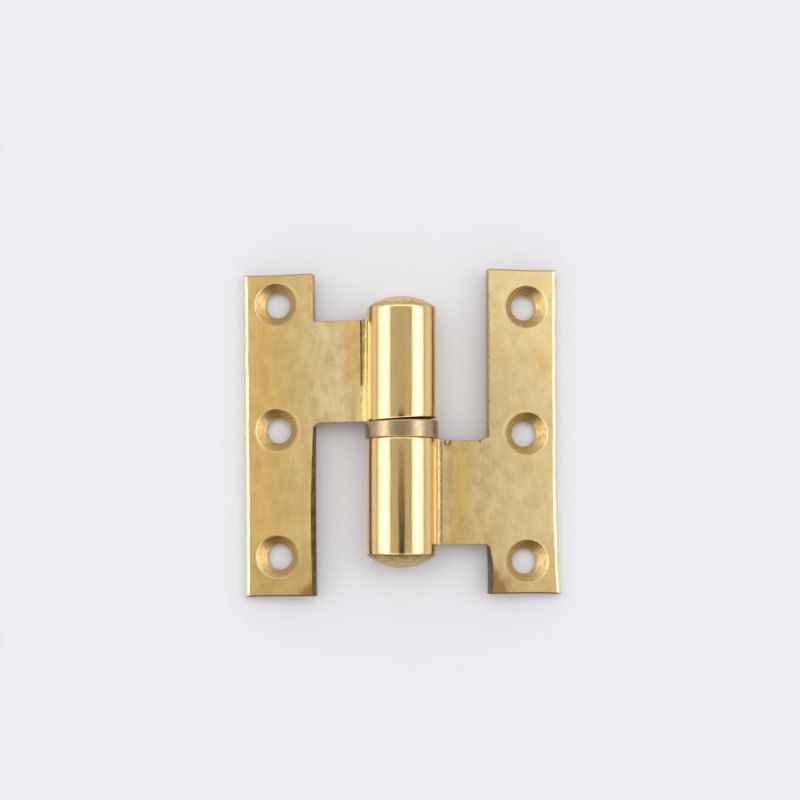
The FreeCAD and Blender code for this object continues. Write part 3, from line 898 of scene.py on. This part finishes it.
def leaf_runs(half, points, sizes, barrel_radius):
    """The runs of one leaf's outline, clockwise from the strip's bottom outer corner, X counted outwards."""
    upper = half == "upper"
    top = max(point.y for point in points)
    bottom = min(point.y for point in points)
    flare_top = bottom + sizes.flare_height
    foot_reach = max(abs(point.x) for point in points)
    reach = max(abs(point.x) for point in points if point.y > flare_top + MM)
    inner = reach - (sizes.upper_strip if upper else sizes.lower_strip)
    tab = [point.y for point in points if abs(point.x) < inner - 2 * sizes.lower_chamfer[0]]
    tab_top = max(tab)
    tab_bottom = min(tab)
    small = (sizes.notch_round, sizes.notch_round)
    low = sizes.upper_chamfer if upper else small
    high = small if upper else sizes.lower_chamfer
    tab_end = barrel_radius + sizes.tab_gap
    corner = sizes.corner_round
    little = GUARD / 2
    end = (sizes.end_round, sizes.end_round, 0, 1, False, sizes.outer_wander, END_FACE)
    outer = (sizes.outer_round, sizes.outer_round, 0, 1, False, sizes.outer_wander, EDGE)
    inner_edge = (sizes.inner_flat, sizes.inner_flat, 0, 1, True, 0.25 * sizes.saw_roughness, SAWN)
    sawn = (sizes.sawn_flat, sizes.sawn_flat, 0, 1, True, sizes.saw_roughness, SAWN)
    filed = sizes.upper_filed if upper else sizes.lower_filed
    # Filed by hand: wide at the foot, widest in between, and running out at the tab
    long_inner = (
        0.65 * filed, sizes.sawn_flat, 0.5 * filed, 1.1, True, 0.2 * sizes.saw_roughness, DARK_FILED,
    )
    runs = [
        Run(foot_reach, bottom, corner, *end),
        Run(inner, bottom, corner, *long_inner),
        Run(inner, tab_bottom - low[1], little, *sawn),
        Run(inner - low[0], tab_bottom, little, *sawn),
        Run(tab_end, tab_bottom, little, *sawn),
        Run(tab_end, tab_top, little, *sawn),
    ]
    if not upper:
        nick = inner - high[0]
        runs += [
            Run(nick - sizes.nick_width, tab_top, little, *sawn),
            Run(nick - sizes.nick_width * 0.8, tab_top - sizes.nick_depth, little, *sawn),
            Run(nick - sizes.nick_width * 0.2, tab_top - sizes.nick_depth, little, *sawn),
        ]
    runs += [
        Run(inner - high[0], tab_top, little, *sawn),
        Run(inner, tab_top + high[1], little, *inner_edge),
        Run(inner, top, corner, *end),
        Run(reach, top, corner, *outer),
    ]
    if not upper:
        runs.append(Run(reach, flare_top, FLARE_BEND, *outer))
    return runs


def build_leaf(half, side):
    """One flat leaf with broken edges, sawn notches and three countersunk screw holes."""
    scene = bpy.context.scene
    sizes = scene.hinge_leaves
    finish = scene.hinge_finish
    barrel_radius = scene.hinge_barrels.diameter / 2
    matrix = leaf_matrix(half)
    points = node_points(half + "_leaf", matrix)
    half_plate = max(point.z for point in points)
    runs = leaf_runs(half, points, sizes, barrel_radius)
    tab_top = max(point.y for point in points if abs(point.x) < barrel_radius)
    wander = 0 if half == "upper" else sizes.lower_wander

    bm = bmesh.new()
    loops = []
    levels = [(1, 1, GUARD), (1, 1, 0)]
    levels += [(1, 1 - step / ROUND_STEPS, 0) for step in range(1, ROUND_STEPS + 1)]
    levels += [(-1, step / ROUND_STEPS, 0) for step in range(ROUND_STEPS + 1)]
    levels += [(-1, 1, GUARD)]
    for face, step, guard in levels:
        loop = leaf_loop(runs, step, guard)
        loops.append([bm.verts.new((side * x, y, face * (half_plate - low))) for x, y, low, _ in loop])
    materials = [material for _, _, _, material in leaf_loop(runs, 0, 0)]
    for index, (first, second) in enumerate(zip(loops, loops[1:])):
        guard_strip = index in (0, len(loops) - 2)
        join_loops(bm, first, second, FACE if guard_strip else materials)

    inverse = matrix.inverted()
    front_rims = [loops[0]]
    back_rims = [loops[-1]]
    centres = []
    for row_name in HOLE_ROWS:
        drill = inverse @ Vector(MOUNTS[half + "_leaf_screw_" + row_name]["pos_m"])
        centre = Vector((drill.x + side * wander, drill.y))
        centres.append(centre)
        rows = [
            [bm.verts.new(point) for point in row] for row in hole_rows(centre, drill.x, sizes, half_plate)
        ]
        for index, (first, second) in enumerate(zip(rows, rows[1:])):
            join_loops(bm, first, second, FACE if index in (0, len(rows) - 2) else SINK)
        front_rims.append(rows[0])
        back_rims.append(rows[-1])
    for rims, way in ((front_rims, 1), (back_rims, -1)):
        edges = []
        for rim in rims:
            for index in range(len(rim)):
                edges.append(bm.edges.get((rim[index], rim[(index + 1) % len(rim)])))
        bmesh.ops.triangle_fill(bm, use_beauty=True, use_dissolve=False, edges=edges, normal=(0, 0, way))

    brass = finish.upper_leaf if half == "upper" else finish.lower_leaf
    materials = [
        brushed_leaf(half, side, centres, barrel_radius, tab_top, Vector((runs[1].x, runs[1].y))),
        polished_edge(half + " leaf rubbed edge"),
        sawn_edge(half + " leaf sawn edge", brass),
        turned_countersink(half + " leaf countersink", centres),
        dark_filed_edge(half + " leaf dark filed edge", brass),
        browned_end(half + " leaf end", brass),
    ]
    finish_piece(
        half + "_leaf_plate", bm, matrix, half + "_half", half + "_leaf",
        materials, LEAF_SHARP,
    )


class HINGE_OT_leaves(Operator):
    """Builds both leaves, brushed, with their broken edges, sawn notches and turned countersinks"""
    bl_idname = "hinge.leaves"
    bl_label = "Leaves"

    def execute(self, context):
        build_leaf("upper", -1)
        build_leaf("lower", 1)
        return {"FINISHED"}


# Turned pieces: barrels, ring and pin

# One point of a turned profile: its radius and height, how far the height rises with X, and its material
Turn = namedtuple("Turn", "radius y slope material")

BODY, DOME, END = range(3)
TURN_SEGMENTS = 192
ROW_STEP = 0.5 * MM
DOME_STEPS = 18


def lathe(profile, closed):
    """A turned form round the Y axis. closed joins the last row to the first, or else both ends are on it."""
    bm = bmesh.new()
    rows = []
    for turn in profile:
        if turn.radius == 0:
            rows.append([bm.verts.new((0, turn.y, 0))])
            continue
        row = []
        for index in range(TURN_SEGMENTS):
            angle = 2 * math.pi * index / TURN_SEGMENTS
            x = turn.radius * math.cos(angle)
            row.append(bm.verts.new((x, turn.y + turn.slope * x, turn.radius * math.sin(angle))))
        rows.append(row)
    pairs = list(zip(rows, rows[1:], profile[1:]))
    if closed:
        pairs.append((rows[-1], rows[0], profile[0]))
    for first, second, turn in pairs:
        if len(first) == 1 or len(second) == 1:
            point, row = (first[0], second) if len(first) == 1 else (second[0], first)
            for index in range(TURN_SEGMENTS):
                face = bm.faces.new((row[index], row[(index + 1) % TURN_SEGMENTS], point))
                face.material_index = turn.material
        else:
            join_loops(bm, first, second, turn.material)
    return bm


def straight_rows(radius, start, stop, slope_at_start, roll_depth, roll_length):
    """Rows along a barrel drawn in at its ends, from a start that may be slanted to a square stop."""
    count = max(2, round(abs(stop - start) / ROW_STEP))
    rows = []
    for index in range(count + 1):
        part = index / count
        slope = slope_at_start * (1 - part) ** 3
        from_end = min(part, 1 - part) * abs(stop - start)
        rolled = roll_depth * max(0, 1 - from_end / roll_length) ** 2
        rows.append(Turn(radius - rolled, start + (stop - start) * part, slope, BODY))
    return rows


def dome_rows(radius, rim, rise, edge_break):
    """Rows over a domed end, from the broken rim to the peak on the axis."""
    cap_radius = (radius ** 2 + rise ** 2) / (2 * abs(rise))
    way = math.copysign(1, rise)
    centre = rim + rise - way * cap_radius
    start = math.asin((radius - edge_break) / cap_radius)
    rows = [Turn(radius - edge_break * 0.3, rim - way * edge_break * 0.3, 0, DOME)]
    for index in range(DOME_STEPS):
        angle = start * (1 - index / DOME_STEPS)
        rows.append(Turn(cap_radius * math.sin(angle), centre + way * cap_radius * math.cos(angle), 0, DOME))
    rows.append(Turn(0, rim + rise, 0, DOME))
    return rows


def build_barrel(half):
    """One barrel: its end or shoulder, its long polished face and its domed end, hollow for the pin."""
    scene = bpy.context.scene
    sizes = scene.hinge_barrels
    matrix = half_matrix(half)
    heights = [point.y for point in node_points(half + "_barrel", matrix)]
    braze = [point.y for point in node_points(half + "_braze", matrix)]
    tab = (min(braze), max(braze))
    pin_top = max(point.y for point in node_points("hinge_pin", half_matrix("lower")))
    pin_bottom = min(point.y for point in node_points("hinge_pin", half_matrix("lower")))
    radius = sizes.diameter / 2
    little = sizes.edge_break
    if half == "upper":
        dome_looks = (sizes.upper_dome_painted_light, sizes.upper_dome_browning_and_shade)
        slope = sizes.out_of_square / sizes.diameter
        end = min(heights) + slope * radius
        rim = max(heights) - sizes.upper_rise
        bore = sizes.pin_diameter / 2 + sizes.socket_clearance
        bottom = pin_top + sizes.socket_gap
        rise = sizes.upper_rise
        way = 1
    else:
        dome_looks = (sizes.lower_dome_painted_light, sizes.lower_dome_browning_and_shade)
        slope = 0
        end = 0
        rim = min(heights) + sizes.lower_rise
        bore = sizes.pin_diameter / 2
        bottom = pin_bottom
        rise = -sizes.lower_rise
        way = -1
    end_radius = radius - sizes.roll_depth
    profile = [
        Turn(0, bottom, 0, BODY),
        Turn(bore - little, bottom, 0, BODY),
        Turn(bore, bottom - way * little, 0, BODY),
        Turn(bore, end + way * little, slope, END),
        Turn(bore + little, end, slope, END),
        Turn(radius - 3 * little, end, slope, END),
        Turn(end_radius - little, end, slope, END),
        Turn(end_radius - 0.3 * little, end + way * 0.3 * little, slope, END),
    ]
    profile += straight_rows(
        radius, end + way * little, rim - way * little, slope, sizes.roll_depth, sizes.roll_length
    )
    profile += dome_rows(end_radius, rim, rise, little)
    bm = lathe(profile, closed=False)
    finish_piece(
        half + "_barrel_rod", bm, matrix, half + "_half", half + "_barrel",
        [
            polished_barrel(half + " barrel polish", -1 if half == "upper" else 1, tab),
            grainy_dome(half + " barrel dome", rim, way, *dome_looks),
            greased_end_and_joint_shade(half + " barrel end"),
        ],
        TURNED_SHARP,
    )


class HINGE_OT_barrels(Operator):
    """Builds the two polished barrels with their grainy domes and the pin's holes"""
    bl_idname = "hinge.barrels"
    bl_label = "Barrels"

    def execute(self, context):
        build_barrel("upper")
        build_barrel("lower")
        return {"FINISHED"}


class HINGE_OT_ring(Operator):
    """Builds the bearing ring, thicker on one side, with broken edges"""
    bl_idname = "hinge.ring"
    bl_label = "Bearing ring"

    def execute(self, context):
        sizes = context.scene.hinge_ring
        pin_radius = context.scene.hinge_barrels.pin_diameter / 2
        matrix = half_matrix("upper")
        bottom = min(point.y for point in node_points("bearing_ring", matrix))
        top = bottom + sizes.height
        slope = sizes.taper / sizes.diameter
        radius = sizes.diameter / 2
        bore = pin_radius + sizes.bore_clearance
        cut = sizes.edge_break
        # The ring's end faces and broken edges take the dark end material, which also paints shade along the
        # joints
        profile = [
            Turn(bore, bottom, 0, BODY),
            Turn(radius - 2 * cut, bottom, 0, END),
            Turn(radius - cut, bottom, 0, END),
            Turn(radius - 0.3 * cut, bottom + 0.3 * cut, 0, END),
            Turn(radius, bottom + cut, 0, BODY),
            Turn(radius, bottom + 2 * cut, 0, BODY),
            Turn(radius, top - 2 * cut, slope, BODY),
            Turn(radius, top - cut, slope, BODY),
            Turn(radius - 0.3 * cut, top - 0.3 * cut, slope, END),
            Turn(radius - cut, top, slope, END),
            Turn(radius - 2 * cut, top, slope, END),
            Turn(bore, top, slope, END),
        ]
        bm = lathe(profile, closed=True)
        bronze = turned_ring("bearing ring bronze")
        finish_piece(
            "bearing_ring_turned", bm, matrix, "ring", "bearing_ring",
            [bronze, bronze, greased_end_and_joint_shade("bearing ring end")], TURNED_SHARP,
        )
        return {"FINISHED"}


class HINGE_OT_pin(Operator):
    """Builds the steel pin that shows when the upper half is lifted off"""
    bl_idname = "hinge.pin"
    bl_label = "Pin"

    def execute(self, context):
        sizes = context.scene.hinge_barrels
        matrix = half_matrix("lower")
        heights = [point.y for point in node_points("hinge_pin", matrix)]
        radius = sizes.pin_diameter / 2
        low = min(heights)
        high = max(heights)
        cut = sizes.pin_chamfer
        profile = [
            Turn(0, low, 0, BODY),
            Turn(radius - 0.25 * cut, low, 0, BODY),
            Turn(radius, low + 0.25 * cut, 0, BODY),
            Turn(radius, high - 1.1 * cut, 0, BODY),
            Turn(radius, high - cut, 0, BODY),
            Turn(radius - cut, high, 0, BODY),
            Turn(radius - 1.2 * cut, high, 0, BODY),
            Turn(0, high, 0, BODY),
        ]
        bm = lathe(profile, closed=False)
        finish_piece(
            "hinge_pin_turned", bm, matrix, "lower_half", "hinge_pin",
            [turned_steel("pin steel")], TURNED_SHARP,
        )
        return {"FINISHED"}


# Brazing metal

# Points across the brazing metal's face, the step along it, and how far its back lies inside the leaf's back
BEAD_ACROSS = 12
BEAD_STEP = 0.2 * MM
BACK_SKIN = 0.003 * MM
# Lengths over which its edge wanders and its face sags, how deep its end is buried in the barrel and how far
# its upper edge sinks in there, how far its lap stands proud of the tab, the least thickness of its edge, and
# how far the lower half's metal stays short of the tab
EDGE_WAVE = 1.9 * MM
SAG_WAVE = 0.7 * MM
BURIED = 0.6 * MM
TUCK = 0.02 * MM
LAP_RISE = 0.02 * MM
EDGE_THICKNESS = 0.1 * MM
SEAM_GAP = 0.05 * MM
# How dark the pitted seam is
SEAM_STRENGTH = {"upper": 0.25, "lower": 0.75}


def sweep(bm, sections):
    """A closed solid through sections of as many points each, capped at both ends."""
    rows = [[bm.verts.new(point) for point in section] for section in sections]
    for first, second in zip(rows, rows[1:]):
        join_loops(bm, first, second, BODY)
    bm.faces.new(rows[0])
    bm.faces.new(list(reversed(rows[-1])))


def soft_step(value, low, high):
    """From 0 at low to 1 at high, easing in and out."""
    part = min(1, max(0, (value - low) / (high - low)))
    return part * part * (3 - 2 * part)


def joint_section(half, side, y, low, high, half_plate, radius, tab_end, sizes):
    """The brazing metal's outline at one height: seam or lap at the tab, fillet, barrel, flush back."""
    wander = noise.noise(Vector((y / EDGE_WAVE, side * 5, 0)))
    if half == "upper":
        filled = 1 - soft_step(y - low, sizes.upper_length - sizes.upper_fade, sizes.upper_length)
        upwards = (y - low - sizes.upper_length) / (high - low - sizes.upper_length)
        gap = sizes.groove_width * (0.3 + 0.7 * max(0, upwards)) * (1 + 0.3 * wander)
        ending = soft_step(y - low, 0, sizes.upper_fade)
        slant = 1.15 - 0.85 * (y - low) / sizes.upper_length
        lap = sizes.lap * filled * (slant * (0.7 + 0.3 * ending) + 0.2 * wander)
        edge_x = tab_end - gap * (1 - filled) + lap
        dip = 0.15 * sizes.groove_depth * (1 - filled) - LAP_RISE * filled
    else:
        filled = 1
        edge_x = tab_end - SEAM_GAP * (1 + wander)
        dip = sizes.seam_depth * (1 + 0.6 * wander)
    edge_z = half_plate - dip
    ledge_z = half_plate - sizes.groove_depth
    head_z = half_plate + sizes.barrel_leg * (0.4 + 0.6 * filled) * (1 + 0.15 * wander)
    head = Vector((math.sqrt(radius ** 2 - head_z ** 2) - TUCK, head_z))
    edge = Vector((edge_x, edge_z))
    section = [(tab_end + GUARD, y, BACK_SKIN - half_plate), (tab_end + GUARD, y, ledge_z)]
    section.append((edge_x, y, min(ledge_z + max(0, edge_x - tab_end), edge_z - EDGE_THICKNESS)))
    for index in range(BEAD_ACROSS + 1):
        part = index / BEAD_ACROSS
        rough = noise.fractal(Vector((part * 3, y / SAG_WAVE, side * 9)), 0.6, 2.0, 3)
        sag = sizes.pitting * rough * 4 * part * (1 - part)
        section.append((edge.x + (head.x - edge.x) * part, y, edge.y + (head.y - edge.y) * part ** 4 - sag))
    section.append((radius - BURIED, y, head_z - BURIED / 2))
    section.append((radius - BURIED, y, BACK_SKIN - half_plate))
    return [(side * x, row, z) for x, row, z in section]


def build_braze(half, side):
    """The brazing metal between one tab and its barrel, open as a groove over most of the upper half."""
    scene = bpy.context.scene
    sizes = scene.hinge_braze
    matrix = half_matrix(half)
    half_plate = max(point.z for point in node_points(half + "_leaf", leaf_matrix(half)))
    radius = scene.hinge_barrels.diameter / 2
    tab_end = radius + scene.hinge_leaves.tab_gap
    heights = [point.y for point in node_points(half + "_braze", matrix)]
    low = min(heights)
    high = max(heights)
    count = round((high - low) / BEAD_STEP)
    sections = []
    for row in range(count + 1):
        y = low + (high - low) * row / count
        sections.append(joint_section(half, side, y, low, high, half_plate, radius, tab_end, sizes))
    bm = bmesh.new()
    sweep(bm, sections)
    finish_piece(
        half + "_braze_metal", bm, matrix, half + "_half", half + "_braze",
        [pitted_braze(half + " brazing", tab_end, half_plate, SEAM_STRENGTH[half])],
        BRAZE_SHARP,
    )


class HINGE_OT_braze(Operator):
    """Builds the brazing metal between each tab and its barrel"""
    bl_idname = "hinge.braze"
    bl_label = "Brazing"

    def execute(self, context):
        build_braze("upper", -1)
        build_braze("lower", 1)
        return {"FINISHED"}


# Studio table, lights and camera

# The soft lamps over the table: which way each one is from the hinge, and how wide it spreads
LAMPS = {
    "ceiling lamp": (Vector((0, 0.22, 1)), math.radians(50)),
    "left lamp": (Vector((-0.85, 0.15, 1)), math.radians(40)),
    "right lamp": (Vector((0.85, 0.15, 1)), math.radians(40)),
}

# The softboxes: the angles round the pin, in degrees, of their lower and upper edge, and the shares of their
# width over which the glow sets in from these edges. Half of what is behind their cloth shows through it.
SOFTBOXES = {"left_softbox": (-93, -34, 0.65, 0.28), "right_softbox": (84, 28, 0.55, 0.375)}
SOFTBOX_GAUZE = 0.5
END_FADE = 0.12

# The two high windows: on which side of the hinge, their far and near edge, half their width, their height,
# and the shares over which their glow sets in. All of what is behind them shows through.
WINDOWS = {"far_window": 1, "near_window": -1}
WINDOW_EDGES = (2.1, 0.3)
WINDOW_REACH = 2
WINDOW_HEIGHT = 1
WINDOW_FADES = (0.39, 0.154)
WINDOW_GAUZE = 1

# The dark cards round the camera and in front of the hinge. Each has half its width and its low and high
# edge, then where it hangs, then its look: how dark it is, and how it fades at its sides and at its ends.
CAMERA_CARD = (0.105, -0.3, 0.03)
CAMERA_CARD_OVER = 10 * MM
CAMERA_CARD_LOOK = (0.02, 0.1, 0.14)
FRONT_CARD = (0.3, -0.05, 0.45)
FRONT_CARD_Y = -0.45
FRONT_CARD_LOOK = (0.05, 0.22, 0.22)

# Sides of the round table top, and the width of the camera's sensor in millimetres
TABLE_SEGMENTS = 96
SENSOR_WIDTH = 36


def card(name, corners, material):
    """A four-cornered card of the studio, which only the metal's reflections show."""
    mesh = bpy.data.meshes.new(name)
    mesh.from_pydata(corners, [], [(0, 1, 2, 3)])
    mesh.materials.append(material)
    layer = mesh.uv_layers.new(name="UVMap")
    for index, place in enumerate(((0, 0), (1, 0), (1, 1), (0, 1))):
        layer.data[index].uv = place
    piece = bpy.data.objects.new(name, mesh)
    bpy.context.scene.collection.objects.link(piece)
    piece.visible_camera = False
    piece.visible_diffuse = False
    piece.visible_shadow = False


def border_fade(tree, first_side, second_side, ends):
    """1 on a card and 0 along its border, with the shares over which its two sides and both ends fade."""
    across, along, _ = axes(tree, tree.nodes.new("ShaderNodeTexCoord").outputs["UV"])
    return product(
        tree, ramp(tree, across, 0, first_side), ramp(tree, across, 1, 1 - second_side),
        ramp(tree, along, 0, ends), ramp(tree, along, 1, 1 - ends),
    )


def softbox_material(name, light, outer_fade, inner_fade, gauze):
    """A white glow that fades towards a card's edges, on cloth that lets the share gauze through."""
    material = bpy.data.materials.new(name)
    material.use_nodes = True
    tree = material.node_tree
    tree.nodes.clear()
    glow = border_fade(tree, outer_fade, inner_fade, END_FADE)
    emission = add_node(tree, "ShaderNodeEmission", {"Color": (1, 1, 1, 1), "Strength": light})
    cloth = add_node(tree, "ShaderNodeBsdfTransparent", {"Color": (gauze, gauze, gauze, 1)})
    mixed = add_node(tree, "ShaderNodeMixShader", {0: glow, 1: cloth.outputs[0], 2: emission.outputs[0]})
    add_node(tree, "ShaderNodeOutputMaterial", {"Surface": mixed.outputs[0]})
    return material


def dark_material(name, shade, side_fade, end_fade):
    """A dark, dull card that fades out towards its sides and its ends."""
    material, tree, place = start_material(name, metal=False)
    weave = grain(tree, place, (4, 4, 4))
    dark = blend_colours(tree, weave, [shade] * 3, [shade * 1.3] * 3)
    cover = border_fade(tree, side_fade, side_fade, end_fade)
    return finish_material(material, {"Base Color": dark, "Roughness": 1.0, "Alpha": cover})


def around(angle_degrees, distance):
    """X and Z of a place round the pin, the angle counted from straight above towards +X."""
    angle = math.radians(angle_degrees)
    return PIN_CENTRE.x + distance * math.sin(angle), PIN_CENTRE.z + distance * math.cos(angle)


class HINGE_OT_stage(Operator):
    """Lays the pale table and sets up the lamps, softboxes, windows, dark cards and camera"""
    bl_idname = "hinge.stage"
    bl_label = "Studio"

    def execute(self, context):
        sizes = context.scene.hinge_stage
        self.lay_table(sizes)
        self.light_room(context.scene, sizes)
        self.hang_cards(sizes)
        self.place_camera(context.scene, sizes)
        return {"FINISHED"}

    def lay_table(self, sizes):
        """A round table top that fades into the background."""
        bm = bmesh.new()
        bmesh.ops.create_circle(bm, cap_ends=True, radius=sizes.floor_radius, segments=TABLE_SEGMENTS)
        mesh = bpy.data.meshes.new("table")
        bm.to_mesh(mesh)
        bm.free()
        table = bpy.data.objects.new("table", mesh)
        bpy.context.scene.collection.objects.link(table)
        material, tree, place = start_material("table top", metal=False)
        mottle = grain(tree, place, (30, 30, 30), 3.0)
        shade = blend_colours(tree, mottle, sizes.floor_colour, toned(sizes.floor_colour, 0.985))
        finish_material(material, {"Base Color": shade, "Roughness": 1.0, "Specular IOR Level": 0.0})
        top = tree.nodes["Principled BSDF"].outputs[0]
        clear = add_node(tree, "ShaderNodeBsdfTransparent", {}).outputs[0]
        fade = ramp(tree, vector_length(tree, place), sizes.floor_fade, sizes.floor_radius * 0.98)
        mixed = add_node(tree, "ShaderNodeMixShader", {0: fade, 1: top, 2: clear})
        tree.links.new(mixed.outputs[0], tree.nodes["Material Output"].inputs["Surface"])
        mesh.materials.append(material)

    def light_room(self, scene, sizes):
        """The room's light, paler at the horizon and below it than straight above, and three soft lamps.

        The lamps light the table and dull surfaces; the brass doesn't mirror them."""
        world = bpy.data.worlds.new("studio room")
        world.use_nodes = True
        scene.world = world
        tree = world.node_tree
        direction = tree.nodes.new("ShaderNodeTexCoord").outputs["Generated"]
        height = axes(tree, direction)[2]
        shade = blend_colours(
            tree, ramp(tree, height, 0.05, 0.9), sizes.horizon_colour, sizes.ceiling_colour
        )
        tree.links.new(shade, tree.nodes["Background"].inputs["Color"])

        for (name, (way, spread)), light in zip(LAMPS.items(), sizes.lamp_lights):
            lamp = bpy.data.lights.new(name, "SUN")
            lamp.energy = light * math.pi / way.normalized().z
            lamp.angle = spread
            holder = bpy.data.objects.new(name, lamp)
            holder.rotation_euler = way.to_track_quat("Z", "Y").to_euler()
            holder.visible_glossy = False
            scene.collection.objects.link(holder)

    def hang_cards(self, sizes):
        """The two long softboxes, the two high windows, and a dark card round the camera and one in front."""
        reach = sizes.softbox_length / 2
        for name, (low_angle, high_angle, outer_fade, inner_fade) in SOFTBOXES.items():
            glow = softbox_material(name, sizes.softbox_light, outer_fade, inner_fade, SOFTBOX_GAUZE)
            low_x, low_z = around(low_angle, sizes.softbox_distance)
            high_x, high_z = around(high_angle, sizes.softbox_distance)
            card(name, [
                (low_x, -reach, low_z), (high_x, -reach, high_z),
                (high_x, reach, high_z), (low_x, reach, low_z),
            ], glow)
        for name, way in WINDOWS.items():
            far, near = (way * edge for edge in WINDOW_EDGES)
            card(name, [
                (-WINDOW_REACH, far, WINDOW_HEIGHT), (-WINDOW_REACH, near, WINDOW_HEIGHT),
                (WINDOW_REACH, near, WINDOW_HEIGHT), (WINDOW_REACH, far, WINDOW_HEIGHT),
            ], softbox_material(name, sizes.window_light, *WINDOW_FADES, WINDOW_GAUZE))
        high = sizes.camera_place[2] + CAMERA_CARD_OVER
        side, low_y, high_y = CAMERA_CARD
        card("camera_card", [
            (-side, low_y, high), (side, low_y, high), (side, high_y, high), (-side, high_y, high),
        ], dark_material("camera card", *CAMERA_CARD_LOOK))
        side, low_z, high_z = FRONT_CARD
        card("front_card", [
            (-side, FRONT_CARD_Y, low_z), (side, FRONT_CARD_Y, low_z),
            (side, FRONT_CARD_Y, high_z), (-side, FRONT_CARD_Y, high_z),
        ], dark_material("front card", *FRONT_CARD_LOOK))

    def place_camera(self, scene, sizes):
        """The photograph's camera, above the hinge and leaning a little towards its top."""
        camera = bpy.data.cameras.new("camera")
        camera.lens = sizes.lens
        camera.sensor_width = SENSOR_WIDTH
        stand = bpy.data.objects.new("camera", camera)
        stand.location = sizes.camera_place
        stand.rotation_euler = (sizes.camera_pitch, 0, 0)
        scene.collection.objects.link(stand)
        scene.camera = stand
        scene.view_settings.view_transform = "Standard"


# Panel and registration

class HINGE_PT_panel(Panel):
    """Lists the hinge's sizes and finishes, and the steps that build it"""
    bl_idname = "HINGE_PT_panel"
    bl_label = "Paumelle Hinge"
    bl_space_type = "VIEW_3D"
    bl_region_type = "UI"
    bl_category = "Hinge"

    def draw(self, context):
        for title, steps, group in PANEL_SECTIONS:
            box = self.layout.box()
            box.label(text=title)
            values = getattr(context.scene, group)
            for name in values.bl_rna.properties.keys():
                if name not in ("rna_type", "name"):
                    box.prop(values, name)
            for step in steps:
                box.operator(step)


PANEL_SECTIONS = (
    ("Leaves", ("hinge.leaves",), "hinge_leaves"),
    ("Barrels and pin", ("hinge.barrels", "hinge.pin"), "hinge_barrels"),
    ("Bearing ring", ("hinge.ring",), "hinge_ring"),
    ("Brazing", ("hinge.braze",), "hinge_braze"),
    ("Finish", (), "hinge_finish"),
    ("Studio", ("hinge.stage",), "hinge_stage"),
)

GROUPS = {
    "hinge_leaves": LeafSizes,
    "hinge_barrels": BarrelSizes,
    "hinge_ring": RingSizes,
    "hinge_braze": BrazeSizes,
    "hinge_finish": HingeFinish,
    "hinge_stage": StageSizes,
}

CLASSES = (
    HINGE_OT_leaves,
    HINGE_OT_barrels,
    HINGE_OT_ring,
    HINGE_OT_pin,
    HINGE_OT_braze,
    HINGE_OT_stage,
    HINGE_PT_panel,
)


def register():
    for name, group in GROUPS.items():
        bpy.utils.register_class(group)
        setattr(bpy.types.Scene, name, PointerProperty(type=group))
    for cls in CLASSES:
        bpy.utils.register_class(cls)


def unregister():
    for cls in reversed(CLASSES):
        bpy.utils.unregister_class(cls)
    for name, group in GROUPS.items():
        delattr(bpy.types.Scene, name)
        bpy.utils.unregister_class(group)


def main():
    """Builds every piece and the studio."""
    register()
    bpy.ops.hinge.leaves()
    bpy.ops.hinge.barrels()
    bpy.ops.hinge.ring()
    bpy.ops.hinge.pin()
    bpy.ops.hinge.braze()
    bpy.ops.hinge.stage()


if __name__ == "__main__":
    main()
